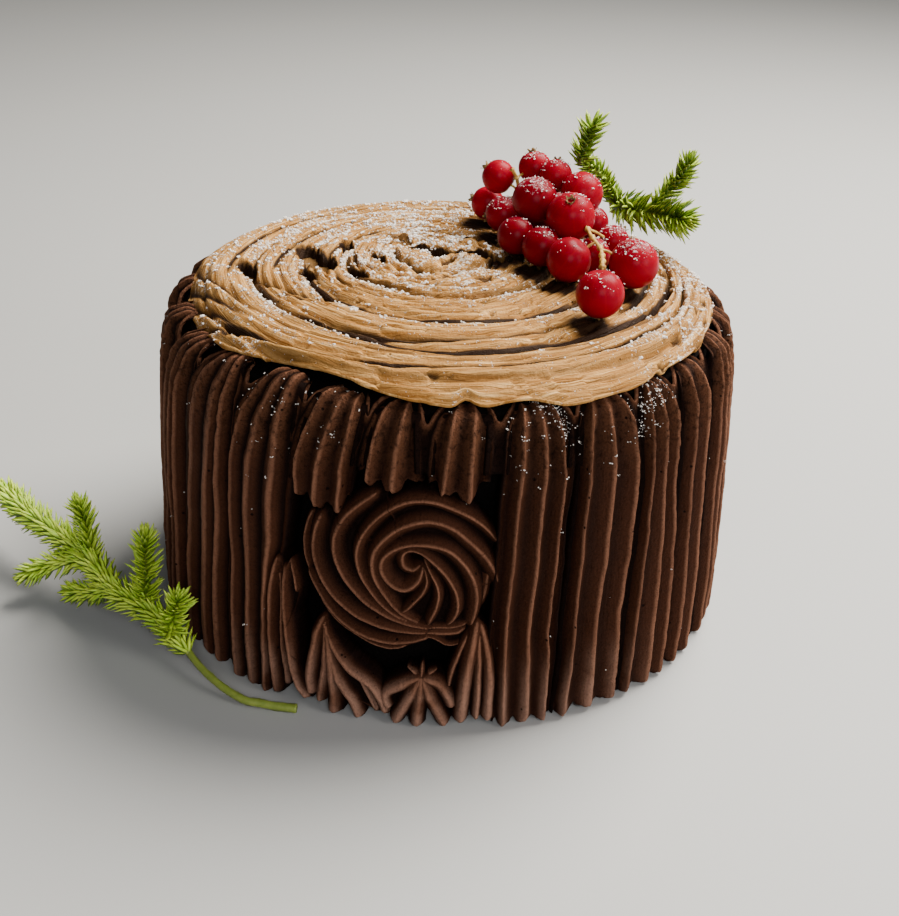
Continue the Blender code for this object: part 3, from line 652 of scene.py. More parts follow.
slantedShell = {
    "centre": (-19.4, 11), "limit": 24, "columns": 240, "rows": 84, "cut": 3,
    "ragged": 0.5, "round": 1.8, "dome": lambda x, y: 79.2 - 0.19 * max(0, y) - 0.01 * x * x,
    "ridges": (
        ridge(2.6, -22, 26.4, -23.3, 21.6, -23.8, 15.6, -24.2, 9.6, -23.8, 4.4,
              fade=(0.3, 0.05)),
        ridge(2.2, -21.8, 25.4, -21.4, 19.4, -21.2, 13.4, -21.6, 8, -22.2, 2.6, fade=(0.4, 0.05),
              lift=-0.5),
        ridge(2.6, -21.4, 24, -20.4, 17.8, -19.6, 11.8, -19, 5.8, -19.2, 0.6,
              fade=(0.4, 0.05)),
        ridge(2.4, -21.2, 23, -19.2, 14, -17.3, 8.8, -15.3, 4.6, -14.2, 0.6, fade=(0.4, 0.05)),
        ridge(1.5, -16.6, 14, -14.2, 11.4, -12.6, 7, -11, 2.4, fade=(0.3, 0.05), lift=-1),
        ridge(2.2, -21, 22.6, -18.6, 18, -15.6, 13.9, -12.2, 10.8, -10.5, 7.2, -9.2, 2.2,
              fade=(0.3, 0.05), lift=0.2),
    ),
}
dab = {
    "centre": (-29.2, 19), "limit": 24, "columns": 200, "rows": 84, "cut": 3,
    "ragged": 0.4, "round": 1.6, "dome": lambda x, y: 79.6 - 0.05 * max(0, y),
    "ridges": (
        ridge(2.3, -30.8, 41, -32, 32, -32.2, 22, -31.9, 12, -31.2, 1.4,
              fade=(0.2, 0.04)),
        ridge(1.5, -30.4, 38, -30.2, 28, -30, 16, -29, 4.4, fade=(0.3, 0.04), lift=-1.3),
        ridge(2.1, -29, 39.6, -29.2, 30, -28.4, 20, -27.6, 11, -26.2, 5.4, -24.4, 3.2,
              fade=(0.2, 0.04), lift=-0.2),
        ridge(1.2, -28.2, 41.6, -27.4, 38, -26.8, 33, fade=(0.3, 0.1), lift=-1.2),
    ),
}
footStrip = {
    "centre": (6.6, 12), "limit": 21, "columns": 200, "rows": 76, "cut": 3.2,
    "ragged": 0.4, "round": 1.9,
    "dome": lambda x, y: 79.5 - 0.10 * max(0, y) - 0.02 * min(0, x + 2.4) ** 2,
    "ridges": (
        ridge(2.5, 7, 30.6, 6.4, 25, 5.6, 18, 5, 11, 4.5, 2, fade=(0.3, 0.04)),
        ridge(1.6, 7.4, 28, 7.6, 20, 7.5, 11, 7.4, 2.6, fade=(0.3, 0.04), lift=-0.6),
        ridge(2.1, 7.8, 29.6, 8.8, 24, 9.5, 17, 9.6, 10, 9.5, 2.4, fade=(0.3, 0.04),
              lift=-0.1),
        ridge(1.2, 6.6, 29.4, 4.8, 24.4, 3.4, 19.2, 2.6, 15.6, 2.3, 12, tall=2.2,
              fade=(0.25, 0.3), lift=-1.6),
    ),
}

for name, node, shape in (("knotRosette", "knot_rosette", rosette),
                          ("starDollop", "star_dollop", star),
                          ("slantedShell", "slanted_shell", slantedShell),
                          ("dabStrip", "dab_strip", dab), ("footStrip", "foot_strip", footStrip)):
    cream = newCream()
    addRelief(cream, shape)
    closeEnds(cream[0])
    addPiece(name, cream[0], chocolate, (node,))
print("knot and short pieces piped")


# --- the coat under the piping, with the webs that the strips draw up between them

coat = {
    "columns": 220, "rows": 70,
    "profile": ((0.0, 0.0), (30.0, 0.0), (69.6, 0.05), (70.0, 2.0), (70.0, 30.0), (70.0, 60.0),
                (69.6, 79.0), (66.0, 84.2), (30.0, 84.2), (0.0, 84.2)),
}
webs = {
    "columns": 14, "rows": 18, "thick": 0.9,
    "bottom": 0.62, "top": 0.80, "stray": 0.02, "ends": 0.96,  # as shares of a strip's length
}


def makeCoat():
    cream = newCream()
    bm, grooveShadeLayer, strokeLayer = cream
    profile = asVectors(coat["profile"])
    for step, row in enumerate(gridRows(bm, coat["columns"], coat["rows"])):
        place = softPath(profile, step / coat["rows"])
        for column, vert in enumerate(row):
            azimuth = 360 * column / coat["columns"]
            swell = 0.35 * rough(azimuth * 0.4, place.y, 0, 9) if place.x > 60 else 0.0
            if column == coat["columns"]:
                vert.co = row[0].co
            else:
                vert.co = onWall(azimuth, max(0.0, min(place.x, 70.0) + swell), max(0.0, place.y))
            # the whole coat carries the full groove value, so the finish paints all of it as shade
            vert[grooveShadeLayer] = 1.0
            vert[strokeLayer] = Vector((azimuth * 1.2, place.y, 0))
    closeEnds(bm)
    addPiece("cakeCoat", bm, paintedShadeCoat, ("cake_body",))


def makeWebs(strips):
    # the thin sheets drawn up between neighbouring strips, hanging in a curve between their tips
    cream = newCream()
    bm, grooveShadeLayer, strokeLayer = cream
    order = sorted(strips.values(), key=lambda strip: (strip["teeth"][0][3] + 180) % 360)
    for seed, (left, right) in enumerate(zip(order, order[1:] + order[:1])):
        top = webs["top"] + webs["stray"] * rough(seed * 3.3, 0, 0, 1)
        for step, row in enumerate(gridRows(bm, webs["columns"], webs["rows"])):
            rise = step / webs["rows"]
            for column, vert in enumerate(row):
                x = 2 * column / webs["columns"] - 1
                stop = blend(top, webs["ends"], abs(x) ** 2.6) + 0.004 * rough(x, seed, 0, 0.4)
                along = blend(webs["bottom"], stop, rise)
                here = softPath(left["path"], along)
                azimuths = []
                for strip, tooth, reach in ((left, -1, -0.9), (right, 0, 0.9)):
                    place = max(0.0, (along - strip["start"]) / (1 - strip["start"]))
                    azimuths.append(softPath(strip["teeth"][tooth], place) + reach)
                gap = (azimuths[1] - azimuths[0] + 180) % 360 - 180
                recess = 3.0 - 0.9 * rise ** 6 + 0.8 * (1 - x * x)
                vert.co = onWall(azimuths[0] + gap * (x + 1) / 2, here.x - recess, here.y)
                # painted shade: the webs carry a high groove value low down and a small one near
                # their top edges
                vert[grooveShadeLayer] = 0.85 - 0.8 * rise ** 6
                vert[strokeLayer] = Vector((x, here.y, seed))
    bmesh.ops.solidify(bm, geom=bm.faces, thickness=webs["thick"] * mm)
    addPiece("stripWebs", bm, chocolate)


makeCoat()
makeWebs(strips)
print("coat and webs done")


# --- mocha cream, spread in a swirl

mocha = {
    "columns": 400, "rows": 232, "middle": (-6, 20), "radius": 68.6, "top": 90.5,
    # crevices between the turns: how far out they run, every 30 degrees from the back, turn by
    # turn, and how deep each turn's crevice is
    "turns": (8.5, 9, 9.6, 10.2, 11, 11.8, 12.6, 13.6, 15, 16.6, 18, 19.4,
              20.5, 21.5, 22.8, 24.2, 25.6, 25.6, 26.8, 28.5, 29.6, 31, 32, 32.6,
              33, 34, 35.2, 36.6, 38, 39.2, 40.3, 41.5, 43.8, 45.5, 46.8, 48,
              49, 50, 50.8, 51.5, 51.6, 51.7, 54.4, 54.8, 57, 60, 61, 61.8,
              62.4, 63, 63.6, 64.4, 65.9, 64.3, 61.9, 61.6, 62.2, 63, 63.5, 64, 64.5),
    "depths": (0.9, 1.5, 3.4, 3.6, 2.6),
    # shorter splits inside a turn: azimuths, distances out and depth
    "splits": (
        ((-40, 50), (49.2, 50, 49.8, 49.3, 49.8), 1.7),
        ((-72, 34), (29.4, 32.2, 31.4, 31.4, 33.5), 1.3),
        ((-84, -42), (53, 50.2, 46.2, 42.4, 39.6), 2.2),
        ((-62, -40), (47.6, 45, 43), 1.5),
        ((-78, 80), (59.6, 57.4, 57, 57.8, 58, 58.8, 61), 0.8),
        ((-44, 60), (64.6, 64.2, 64, 64, 64.4), 0.45),
        ((-60, 70), (55, 54.6, 56, 56.4, 57.4), 0.6),
        ((-150, -78), (43, 43.6, 44.6, 46), 1.6), ((-160, -80), (57, 57.6, 58.2, 58.8), 1.5),
        ((-150, -60), (27.6, 29, 30.6, 32.2), 1.2), ((50, 175), (52.6, 54.6, 56, 56.6), 1.5),
        ((60, 170), (37, 39, 40.6, 41.6), 1.2)),
    # folds laid over each other where the last turn sets off at the left, as the splits
    "folds": (
        ((-100, -52), (70.5, 67.5, 63.5, 60, 58.6, 58.2), 1.3),
        ((-92, -50), (70.5, 67.6, 64.2, 61.8, 61.2), 1.7),
        ((-82, -50), (70.5, 68.2, 66, 64.4, 63.8), 1.7),
        ((-67, -50), (70.8, 69, 67.4, 66.2), 1.8)),
    # holes torn in the crevices: x, y, half length, half width and depth
    "holes": (
        (-35.2, 7.4, 6, 3.2, 6), (-39.5, 14.5, 5, 2.8, 4.6), (-38.2, -1.6, 3.2, 1.5, 4.8),
        (-54.6, 0.5, 5.2, 2, 7), (-52.6, -41.2, 2.6, 1.6, 4.6), (-29.5, 21, 3, 1.7, 5),
        (-25, 0.6, 3.8, 1.4, 4.2), (-6.2, 18.4, 8, 2.4, 7), (5.6, 18.4, 6, 1.9, 6.2),
        (-15, 27.4, 3.4, 2.4, 1.7), (-20, 12, 3.2, 1.2, 3.6), (2, 31, 4, 1.2, 3.4),
        (57.5, -8.6, 2.6, 0.8, 3.4), (-35.6, -18.6, 2.8, 0.6, 3),
        (-28.8, -36.8, 2.4, 0.8, 3.4)),
    # the lip's edge every 7.5 degrees, from 60 left to 82.5 right: how far out it reaches
    "edge": (69.2, 70.6, 69.8, 67.9, 67.6, 67.8, 69.3, 71, 71.5, 71.8, 70.9, 73.4, 72.8, 72.6,
             71, 70.8, 70.6, 70.3, 70, 69.8),
    "edgeSpan": (-60, 82.5), "backEdge": 69.3,
    # the thin flange pressed out under the last ridge: azimuths, where it starts, how low it lies
    "flange": ((-55, 88), (66, 67, 66.2, 65.9, 66.2, 66.8, 66.4, 66.6), 1.4),
    "slope": (62.6, 0.45),  # where the top starts to fall, and how steeply
    "raised": (1.9, -27, 13), "hanging": (3.2, -98, -82, -70, -50),  # by how much, and where
    "notch": (3.8, 1.6), "lowest": 82.4, "sugarAbove": 86,
    "hem": 10,  # rows that round the edge and run back underneath, inwards and downwards
    "hemIn": (0, -0.25, -1.6, -4, -8), "hemDown": (0, 0.75, 1.05, 0.9, 0.6),
}
arcDegrees = 57.3  # degrees in an arc as long as its radius


def turnPlace(turn, azimuth):
    ragged = 0.22 * rough(azimuth, turn * 9, 0, 3.6) + 0.5 * rough(azimuth, turn * 5, 4, 9)
    ragged *= 1 - ease(150, 180, abs(azimuth))
    return softPath(mocha["turns"], (turn * 360 + azimuth + 180) / 1800) + ragged


def alongSwirl(x, y, reach, azimuth, fine, long):
    # noise drawn out along the swirl, from -1 to 1
    arc = azimuth * reach / arcDegrees
    first = noise.noise(Vector((reach / fine, arc / long, 0)))
    if abs(azimuth) < 150:
        return first
    other = noise.noise(Vector((x / long, y / long, reach / fine)))
    return blend(first, other, ease(150, 172, abs(azimuth)))


def lipEdge(azimuth):
    first, last = mocha["edgeSpan"]
    reach = softPath(mocha["edge"], (azimuth - first) / (last - first))
    away = max(ease(0, 16, first - azimuth), ease(0, 20, azimuth - last))
    return blend(reach, mocha["backEdge"] + 0.5 * rough(azimuth, 0, 0, 12), away)


def crease(gap, inner, outer):
    # a groove that rolls over slowly on its inner side and rises steeply on its outer side
    return math.exp(-abs(gap / (inner if gap < 0 else outer)) ** 1.6)


def cutsNear(cuts, reach, azimuth, start, end):
    # the splits or folds that cross this azimuth: how far past each one the point lies, how deep
    # it is, and how much of it is left so near its start and end
    for (first, last), stops, depth in cuts:
        if first < azimuth < last:
            share = (azimuth - first) / (last - first)
            yield reach - softPath(stops, share), depth, min(1.0, share * start, (1 - share) * end)


def swirlHeight(reach, azimuth, x, y, lines):
    # how high the cream stands, how much painted shade it gets in crevices, splits, folds, tears
    # and holes, and its place across the turn
    turn = sum(1 for line in lines if reach >= line - 0.001) - 1
    inner = lines[turn] if turn >= 0 else 0.0
    outer = lines[turn + 1] if turn < 4 else lipEdge(azimuth) + 1.5
    wide = max(1.0, outer - inner)
    part = (reach - inner) / wide
    near, far = reach - inner, outer - reach
    deep = [0.0, *mocha["depths"], 0.0]
    vary = 0.72 + 0.75 * rough(x, y, 3, 19)
    before = deep[turn + 1] * vary
    after = deep[turn + 2] * vary if turn < 4 else 0.0
    facing = window(azimuth, -105, -50, 45, 90)  # crevices that open to the front
    before, after = before * blend(0.45, 1.0, facing), after * blend(0.45, 1.0, facing)
    fade = 1 - 0.75 * (1 - ease(-62, -52, azimuth))
    if turn == 3:
        after *= fade
    elif turn == 4:
        before *= fade
    roll = max(0.0, 1 - far / (blend(0.20, 0.38, facing) * wide)) if turn < 4 else 0.0
    height = -before * (1 - ease(-0.2, 0.9, near)) - after * roll ** 1.4
    height += 1.1 * ease(0.3, 0.38 * wide, near) - 0.6
    creviceShade = max((1 - ease(0.2, 0.8, near)) * min(1.0, before / 2),
                ease(0.50, 0.86, roll) * min(1.0, after / 2))
    count = max(2, round(wide / 2.4))
    line = abs(math.cos(math.pi * (part * count + 0.25 * rough(x, y, 8, 14))))
    smooth = 1 - 0.85 * ease(48, 55, reach) * (1 - ease(-60, -45, azimuth))
    fine = smooth * ease(9, 20, reach) * (0.62 + 0.55 * rough(x, y, 12, 9))
    height -= fine * line ** 6
    creviceShade = max(creviceShade, 0.55 * fine * line ** 10)
    height += 0.16 * (1 - line * line) - 0.1
    for gap, depth, fade in cutsNear(mocha["splits"], reach, azimuth, 8, 8):
        gap -= 0.3 * rough(azimuth, depth, 0, 5)
        if -8 < gap < 2:
            height -= depth * crease(gap, 1.9, 0.6) * fade
            creviceShade = max(creviceShade, min(1.0, depth / 1.6) * crease(gap, 1.3, 0.4) * fade)
    for gap, depth, fade in cutsNear(mocha["folds"], reach, azimuth, 6, 4):
        height -= depth * (crease(gap, 2.0, 1.1) - 0.45 * bell(gap, -2.6, 1.6)) * fade
        creviceShade = max(creviceShade, 0.85 * crease(gap, 0.9, 0.7) * fade)
    calm = 1 - ease(10, 30, reach)
    height += calm * (1.9 * rough(x, y, 9, 6.5) + 1.1 * rough(x, y, 4, 2.8))
    loose = 1 - ease(24, 40, reach)
    height += (blend(0.16, 0.40, loose) * rough(x, y, 2, 3.4)
               + blend(0.05, 0.26, loose) * rough(x, y, 6, 1.3))
    height += smooth * 0.30 * alongSwirl(x, y, reach, azimuth, 1.1, 16.0)
    height += smooth * 0.25 * alongSwirl(x, y, reach + 30, azimuth, 2.4, 24.0)
    torn = alongSwirl(x, y, reach, azimuth, 1.3, 9.0) + 0.30 * rough(x, y, 5, 2.2)
    level = 0.52 - 0.26 * loose - 0.14 * ease(30, 55, x)
    level -= 0.10 * ease(-20, -50, x) * (1 - ease(20, 40, -y))
    tear = ease(level, level + 0.16, torn) * ease(3, 7, reach) * smooth
    height -= 1.3 * tear
    creviceShade = max(creviceShade, 0.62 * tear)
    for holeX, holeY, long, half, depth in mocha["holes"]:
        dx, dy = x - holeX, y - holeY
        if abs(dx) < 12 and abs(dy) < 12:
            out = Vector((holeX - mocha["middle"][0], holeY - mocha["middle"][1]))
            out = out.normalized() if out.length > 12 else Vector((0, -1))
            run = (-out.y * dx + out.x * dy) / long
            cross = (out.x * dx + out.y * dy) / half + 0.24 * rough(x, y, holeX, 1.6)
            height -= depth * math.exp(-(run * run + cross * cross) ** 3)
            shade = 1.5 * math.exp(-(run * run * 0.8 + cross * cross * 0.6) ** 3)
            creviceShade = max(creviceShade, min(1.0, depth / 3.4, shade))
    return height, creviceShade, part


# painted shadow where the lower currants rest on the cream, centred a little to the front and left
# of each: x, y and how far the shade reaches
restingHeight = 98.5  # those whose undersides are lower than this
berryShadowSpots = []
for letter in "abcdefghijklmnopqrs":
    low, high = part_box("redcurrant_" + letter)
    if low.z < restingHeight * mm:
        berryShadowSpots.append(((low.x + high.x) / 2 / mm - 2.4,
                             (low.y + high.y) / 2 / mm - 3.0, 4.6))


def frostOn(x, y, part, lip):
    # how much icing sugar lies here: most in the middle, at the right and behind each crevice
    frost = 0.75 - ease(14, 52, math.hypot(x + 4, y - 14)) * 0.5 + 0.3 * rough(x, y, 21, 7)
    frost += 0.5 * ease(20, 55, x) * (1 - ease(40, 66, -y))
    frost += 0.28 * ease(-22, -46, x) * (1 - 0.6 * ease(30, 60, -y))
    frost += 0.3 * ease(30, 50, y)
    frost += 0.6 * (1 - ease(0.0, 0.25, part)) * (0.5 if lip else 1.0)
    return frost * (1 - 0.5 * ease(46, 64, -y))


def makeMocha():
    cream = newCream()
    bm, grooveShadeLayer, strokeLayer = cream
    frostLayer = bm.verts.layers.float.new("frost")
    columns, rows, hem = mocha["columns"], mocha["rows"], mocha["hem"]
    (first, last), starts, low = mocha["flange"]
    slopeStart, slope = mocha["slope"]
    grid = gridRows(bm, columns, rows)
    for column in range(columns):
        azimuth = 360.0 * column / columns - 180
        turn = math.radians(azimuth)
        out = Vector((math.sin(turn), -math.cos(turn)))
        edge = lipEdge(azimuth) + 0.35 * rough(azimuth, 5, 0, 3.4)
        lines = [turnPlace(number, azimuth) for number in range(5)]
        flanged = first < azimuth < last
        if flanged:
            share = (azimuth - first) / (last - first)
            begin = softPath(starts, share) + 0.25 * rough(azimuth, 3, 0, 5)
            fade = min(1.0, share * 9, (1 - share) * 5)
        reaches = [edge * row / (rows - hem) for row in range(rows - hem + 1)]
        for line in (*lines, begin) if flanged else lines:
            nearest = min(range(1, len(reaches) - 1), key=lambda k: abs(reaches[k] - line))
            reaches[nearest] = line
        tail = window(azimuth, -60, -55, 75, 100)
        for row in range(rows + 1):
            vert = grid[row][column]
            reach = reaches[min(row, rows - hem)]
            shift = max(0.0, 1 - reach / mocha["radius"])
            flat = out * reach + Vector(mocha["middle"]) * shift
            height, creviceShade, part = swirlHeight(reach, azimuth, flat.x, flat.y, lines)
            # painted contact shadow of the lower currants on the cream
            berryShadow = max((math.exp(-((flat.x - x) ** 2 + (flat.y - y) ** 2) / size ** 2)
                         for x, y, size in berryShadowSpots), default=0.0)
            creviceShade = max(creviceShade, min(1.0, berryShadow * 1.9))
            z = mocha["top"] + height - slope * max(0.0, reach - slopeStart)
            if flanged:
                past = reach - begin
                z -= fade * (low * ease(-0.9, 0.7, past) - 0.8 * ease(0.6, 2.6, past))
                raised, *where = mocha["raised"]
                z += raised * bell(azimuth, *where) * ease(63, 70, reach) * fade
                # painted shade along the line where the flange steps down
                creviceShade = max(creviceShade, 0.34 * fade * crease(past, 1.2, 0.8))
            if reach > lines[4]:
                share = (reach - lines[4]) / max(1.0, edge - lines[4])
                z += tail * (0.7 + 0.9 * math.sin(math.pi * min(1, share * 1.25)) - 0.3)
                z -= 0.5 * ease(0.72, 1.0, share) ** 2
                hanging, *where = mocha["hanging"]
                z -= hanging * window(azimuth, *where) * ease(64.5, 70, reach)
            notch = bell(azimuth, *mocha["notch"]) * ease(67, 71, reach)
            flat -= out * 2.0 * notch
            z += 0.9 * notch
            if row > rows - hem:
                share = (row - rows + hem) / hem
                z -= softPath(mocha["hemDown"], share)
                flat += out * softPath(mocha["hemIn"], share)
                # painted shade on the underside of the lip, darker further in
                creviceShade = 0.5 * share
            vert.co = Vector((flat.x, flat.y, max(z, mocha["lowest"]))) * mm
            vert[grooveShadeLayer] = min(1.0, creviceShade)
            vert[strokeLayer] = Vector((reach, azimuth * reach / arcDegrees, 0))
            frost = frostOn(flat.x, flat.y, part, reach > lines[4])
            frost *= 1 - min(1.0, creviceShade * 1.5)
            vert[frostLayer] = max(0.0, frost) if row <= rows - hem else 0.0
    for row in grid:
        row[columns].co = row[0].co
        for layer in (grooveShadeLayer, strokeLayer, frostLayer):
            row[columns][layer] = row[0][layer]
    closeEnds(bm)
    return bm


# mocha colours: the crest and bright colours are painted highlights, and deep is painted shade for
# the crevices
mochaLook = {
    "crest": (0.76, 0.435, 0.150), "body": (0.33, 0.140, 0.027), "deep": (0.008, 0.002, 0.001),
    "litTone": (0.95, 0.62, 0.27), "sugar": (0.90, 0.81, 0.70),
}


def mochaFinish(look):
    material, shader, wire = startFinish("mochaCream", Specular_IOR_Level=0.08)
    grooveShade = painted(wire, "grooveShade")
    streaks = strands(wire, (1.9, 0.06), 4.0, 0.65)
    threads = strands(wire, (1.5, 0.035), 1.0, 0.5) - 0.5
    threads = threads.math("ABSOLUTE", threads)
    lumps = spot(wire, 9, 3)
    grain = spot(wire, 0.6, 3, 0.65)
    powder = spot(wire, 0.9, 3, 0.75)
    holes = pits(wire, 4.2, 0.095, 0.6)
    # lighter streaks along the piping, standing as painted highlights on the ridges
    tone = streaks.between(0.35, 0.75).mix(look["body"], look["crest"])
    # painted shade at the crevice edges, among randomly darker lumps, grain and thread lines
    for dark, share in ((lumps.between(0.35, 0.75) * 0.3, 0.82),
                        (grooveShade.between(0.10, 0.40) * 0.60, 0.45),
                        (grain.between(0.50, 0.80) * 0.35, 0.55),
                        ((1 - threads.between(0.0, 0.028)) * 0.22, 0.35)):
        tone = dark.mix(tone, scaled(look["body"], share))
    # painted shade: crevices and air holes are mixed towards the near-black deep colour
    for dark in (grooveShade.between(0.22, 0.80) * 0.95, holes * 0.8):
        tone = dark.mix(tone, look["deep"])
    # painted highlights: bright ropes along the streaks, kept out of the crevices
    highlightRopes = streaks.between(0.52, 0.70) * (1 - grooveShade.between(0.02, 0.20))
    tone = (highlightRopes * 0.5).mix(tone, look["litTone"])
    cover = powder * 0.76 + spot(wire, 6.5, 2) * 0.24 + painted(wire, "frost") * 0.16
    dusted = cover.between(0.640, 0.68) * (1 - grooveShade.between(0.3, 0.8) * 0.85)
    tone = (dusted * 0.80).mix(tone, look["sugar"])
    height = grain * 0.40 + streaks * 0.45 - holes * 0.6 + dusted * (0.15 + powder * 0.5)
    height = height - (1 - threads.between(0.0, 0.05)) * 0.22
    wireUp(shader, Base_Color=tone, Roughness=0.62 + dusted * 0.3,
           Normal=bump(wire, height, 1.0, 0.9))
    return material


swirl = makeMocha()
frostLayer = swirl.verts.layers.float["frost"]
sugarSpots["mocha"] = [
    (vert.co.copy(), max(0.0, vert[frostLayer] - 0.12) ** 1.6 * math.hypot(vert.co.x, vert.co.y))
    for vert in swirl.verts if vert.co.z > mocha["sugarAbove"] * mm]
addPiece("mochaSwirl", swirl, mochaFinish(mochaLook), ("mocha_swirl",))
print("mocha spread")


# --- redcurrants and their stalks

currants = {
    "columns": 32, "rows": 20, "dimple": 0.12,
    # the way each berry's dried flower points, and how much sugar lies on the berry
    "flowers": {
        "a": ((-0.7, 0.2, 0.5), 0.5), "b": ((-0.8, 0.2, 0.2), 0.2),
        "c": ((-0.9, 0.3, -0.3), 0.9), "d": ((-0.4, 0.3, -0.9), 1),
        "e": ((-0.2, 0.3, 0.9), 0.8), "f": ((0.1, 0.6, 0.7), 0.7), "g": ((0.6, 0.6, 0.5), 0.6),
        "h": ((-0.1, -0.5, 0.85), 0.75), "i": ((-0.8, 0.3, -0.5), 0.5),
        "j": ((-0.6, 0.2, -0.8), 0.5), "k": ((-0.5, 0.2, -0.8), 0.35),
        "l": ((0.5, 0.4, 0.6), 1), "m": ((0.6, 0.3, -0.7), 1), "n": ((0.1, 0.1, -1), 0.6),
        "o": ((0.2, -0.2, -0.9), 0.7), "p": ((0.4, 0.7, 0.3), 0.9),
        "q": ((0.1, 0.2, -0.9), 0.3), "r": ((0.3, 0.1, -0.9), 0.3), "s": ((0.2, 0.9, 0.3), 0.5)},
    # painted shade: how much darker the berries are that lie in the others' shade, low in the
    # cluster
    "berryShade": {"i": 0.55, "j": 0.5, "k": 0.25, "c": 0.3, "d": 0.4, "q": 0.5, "r": 0.5, "o": 0.3,
             "l": 0.3, "p": 0.3},
    "stalks": {
        "front_stalk": ((36.5, 6.2, 102.2), (37.2, 0.5, 101.9), (38.8, -6, 101.4),
                        (38.7, -13, 101.7), (38.2, -20, 102.6), (37.5, -27, 103.6)),
        "back_stalk": ((18.4, 38.2, 100.6), (18.6, 35.4, 104), (18, 34.4, 107.4),
                       (16.6, 34, 110))},
    "held": {"front_stalk": "hlmnok", "back_stalk": "abce"},
}
dried = {
    "columns": 20, "rows": 8, "thick": 0.12,
    "profile": ((0.1, -0.5), (0.8, -0.35), (1.15, 0.15), (1.0, 0.65), (1.3, 1.1)),
}


def berryBall(letter):
    low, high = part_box("redcurrant_" + letter)
    return (low + high) / 2, min(high - low) / 2


def flowerTurn(letter):
    return Vector(currants["flowers"][letter][0]).normalized().to_track_quat("Z", "Y").to_matrix()


def addBerry(bm, layers, letter, seed):
    frostLayer, skinLayer, berryShadeLayer = layers
    centre, radius = berryBall(letter)
    frost = currants["flowers"][letter][1]
    turn = flowerTurn(letter)
    made = bmesh.ops.create_uvsphere(bm, u_segments=currants["columns"],
                                     v_segments=currants["rows"], radius=1.0)["verts"]
    for vert in made:
        local = vert.co.copy()
        tilt = math.acos(max(-1.0, min(1.0, local.z)))
        out = 1.09 - currants["dimple"] * bell(tilt, 0.0, 0.24) - 0.10 * bell(tilt, math.pi, 0.28)
        out += 0.012 * rough(local.x, local.y, local.z + seed * 5, 0.8)
        away = turn @ local
        vert.co = centre + away * radius * out
        sky = ease(0.15, 0.95, away.z)
        vert[frostLayer] = sky * frost
        vert[skinLayer] = local
        vert[berryShadeLayer] = currants["berryShade"].get(letter, 0.0)
        if sky > 0.05:
            weight = sky * frost * math.sin(tilt) * radius * 220
            sugarSpots["fruit"].append((vert.co.copy(), weight))


def addFlower(bm, letter, seed):
    centre, radius = berryBall(letter)
    turn = flowerTurn(letter)
    profile = asVectors(dried["profile"])
    for step, row in enumerate(gridRows(bm, dried["columns"], dried["rows"])):
        share = step / dried["rows"]
        stop = softPath(profile, share)
        for column, vert in enumerate(row):
            angle = math.tau * column / dried["columns"]
            x, y = math.cos(angle), math.sin(angle)
            frayed = math.cos(angle * 5 + seed) * share ** 3
            reach = stop.x * (1 + 0.20 * frayed) + 0.12 * rough(x * 3, y * 3, seed, 1)
            local = Vector((reach * x, reach * y, stop.y + 0.4 * frayed - 0.2))
            vert.co = centre + turn @ (local * mm) + turn @ Vector((0, 0, radius * 0.98))


slant = Vector((0.31, 0.22, 0.93))  # a way that no stem runs along


def addTube(bm, path, sides, count, size):
    # a round stem along a path of stops; size gives its radius at each share and angle
    stops = asVectors(path)
    for step, row in enumerate(gridRows(bm, sides, count)):
        share = step / count
        run = heading(stops, share, 0.01)
        side = run.cross(slant).normalized()
        other = run.cross(side)
        for column, vert in enumerate(row):
            if column == sides:
                vert.co = row[0].co
                continue
            angle = math.tau * column / sides
            out = side * math.cos(angle) + other * math.sin(angle)
            vert.co = (softPath(stops, share) + out * size(share, angle)) * mm


def skinFinish():
    material, shader, wire = startFinish(
        "redcurrantSkin", Specular_IOR_Level=0.06, Subsurface_Weight=0.2, Subsurface_Scale=0.003,
        Subsurface_Radius=(1.0, 0.10, 0.06))
    frost = painted(wire, "frost")
    x, y, z = painted(wire, "skin", 1).split()
    turn = y.math("ARCTAN2", y, x) * 5.0
    vein = turn.math("SINE", turn)
    vein = 1 - (vein * vein).between(0.0, 0.10)
    tone = spot(wire, 3.0, 2).mix((0.22, 0.0, 0.010), (0.33, 0.0, 0.014))
    tone = (vein * 0.15).mix(tone, (0.45, 0.01, 0.012))
    tone = (z * z * 0.25).mix(tone, (0.08, 0.0, 0.003))
    # painted shade: berries in the others' shade are mixed towards a darker red
    tone = painted(wire, "berryShade").mix(tone, (0.05, 0.0, 0.002))
    clumps = spot(wire, 0.75, 3, 0.7) * 0.8 + spot(wire, 2.6, 1) * 0.2
    dusted = (clumps + frost * 0.22).between(0.72, 0.80) * frost.between(0.1, 0.5)
    tone = (dusted * 0.55).mix(tone, (0.80, 0.52, 0.54))
    wireUp(shader, Base_Color=tone, Roughness=0.33 + dusted * 0.4,
           Normal=bump(wire, dusted * 0.5, 0.6, 0.7))
    return material


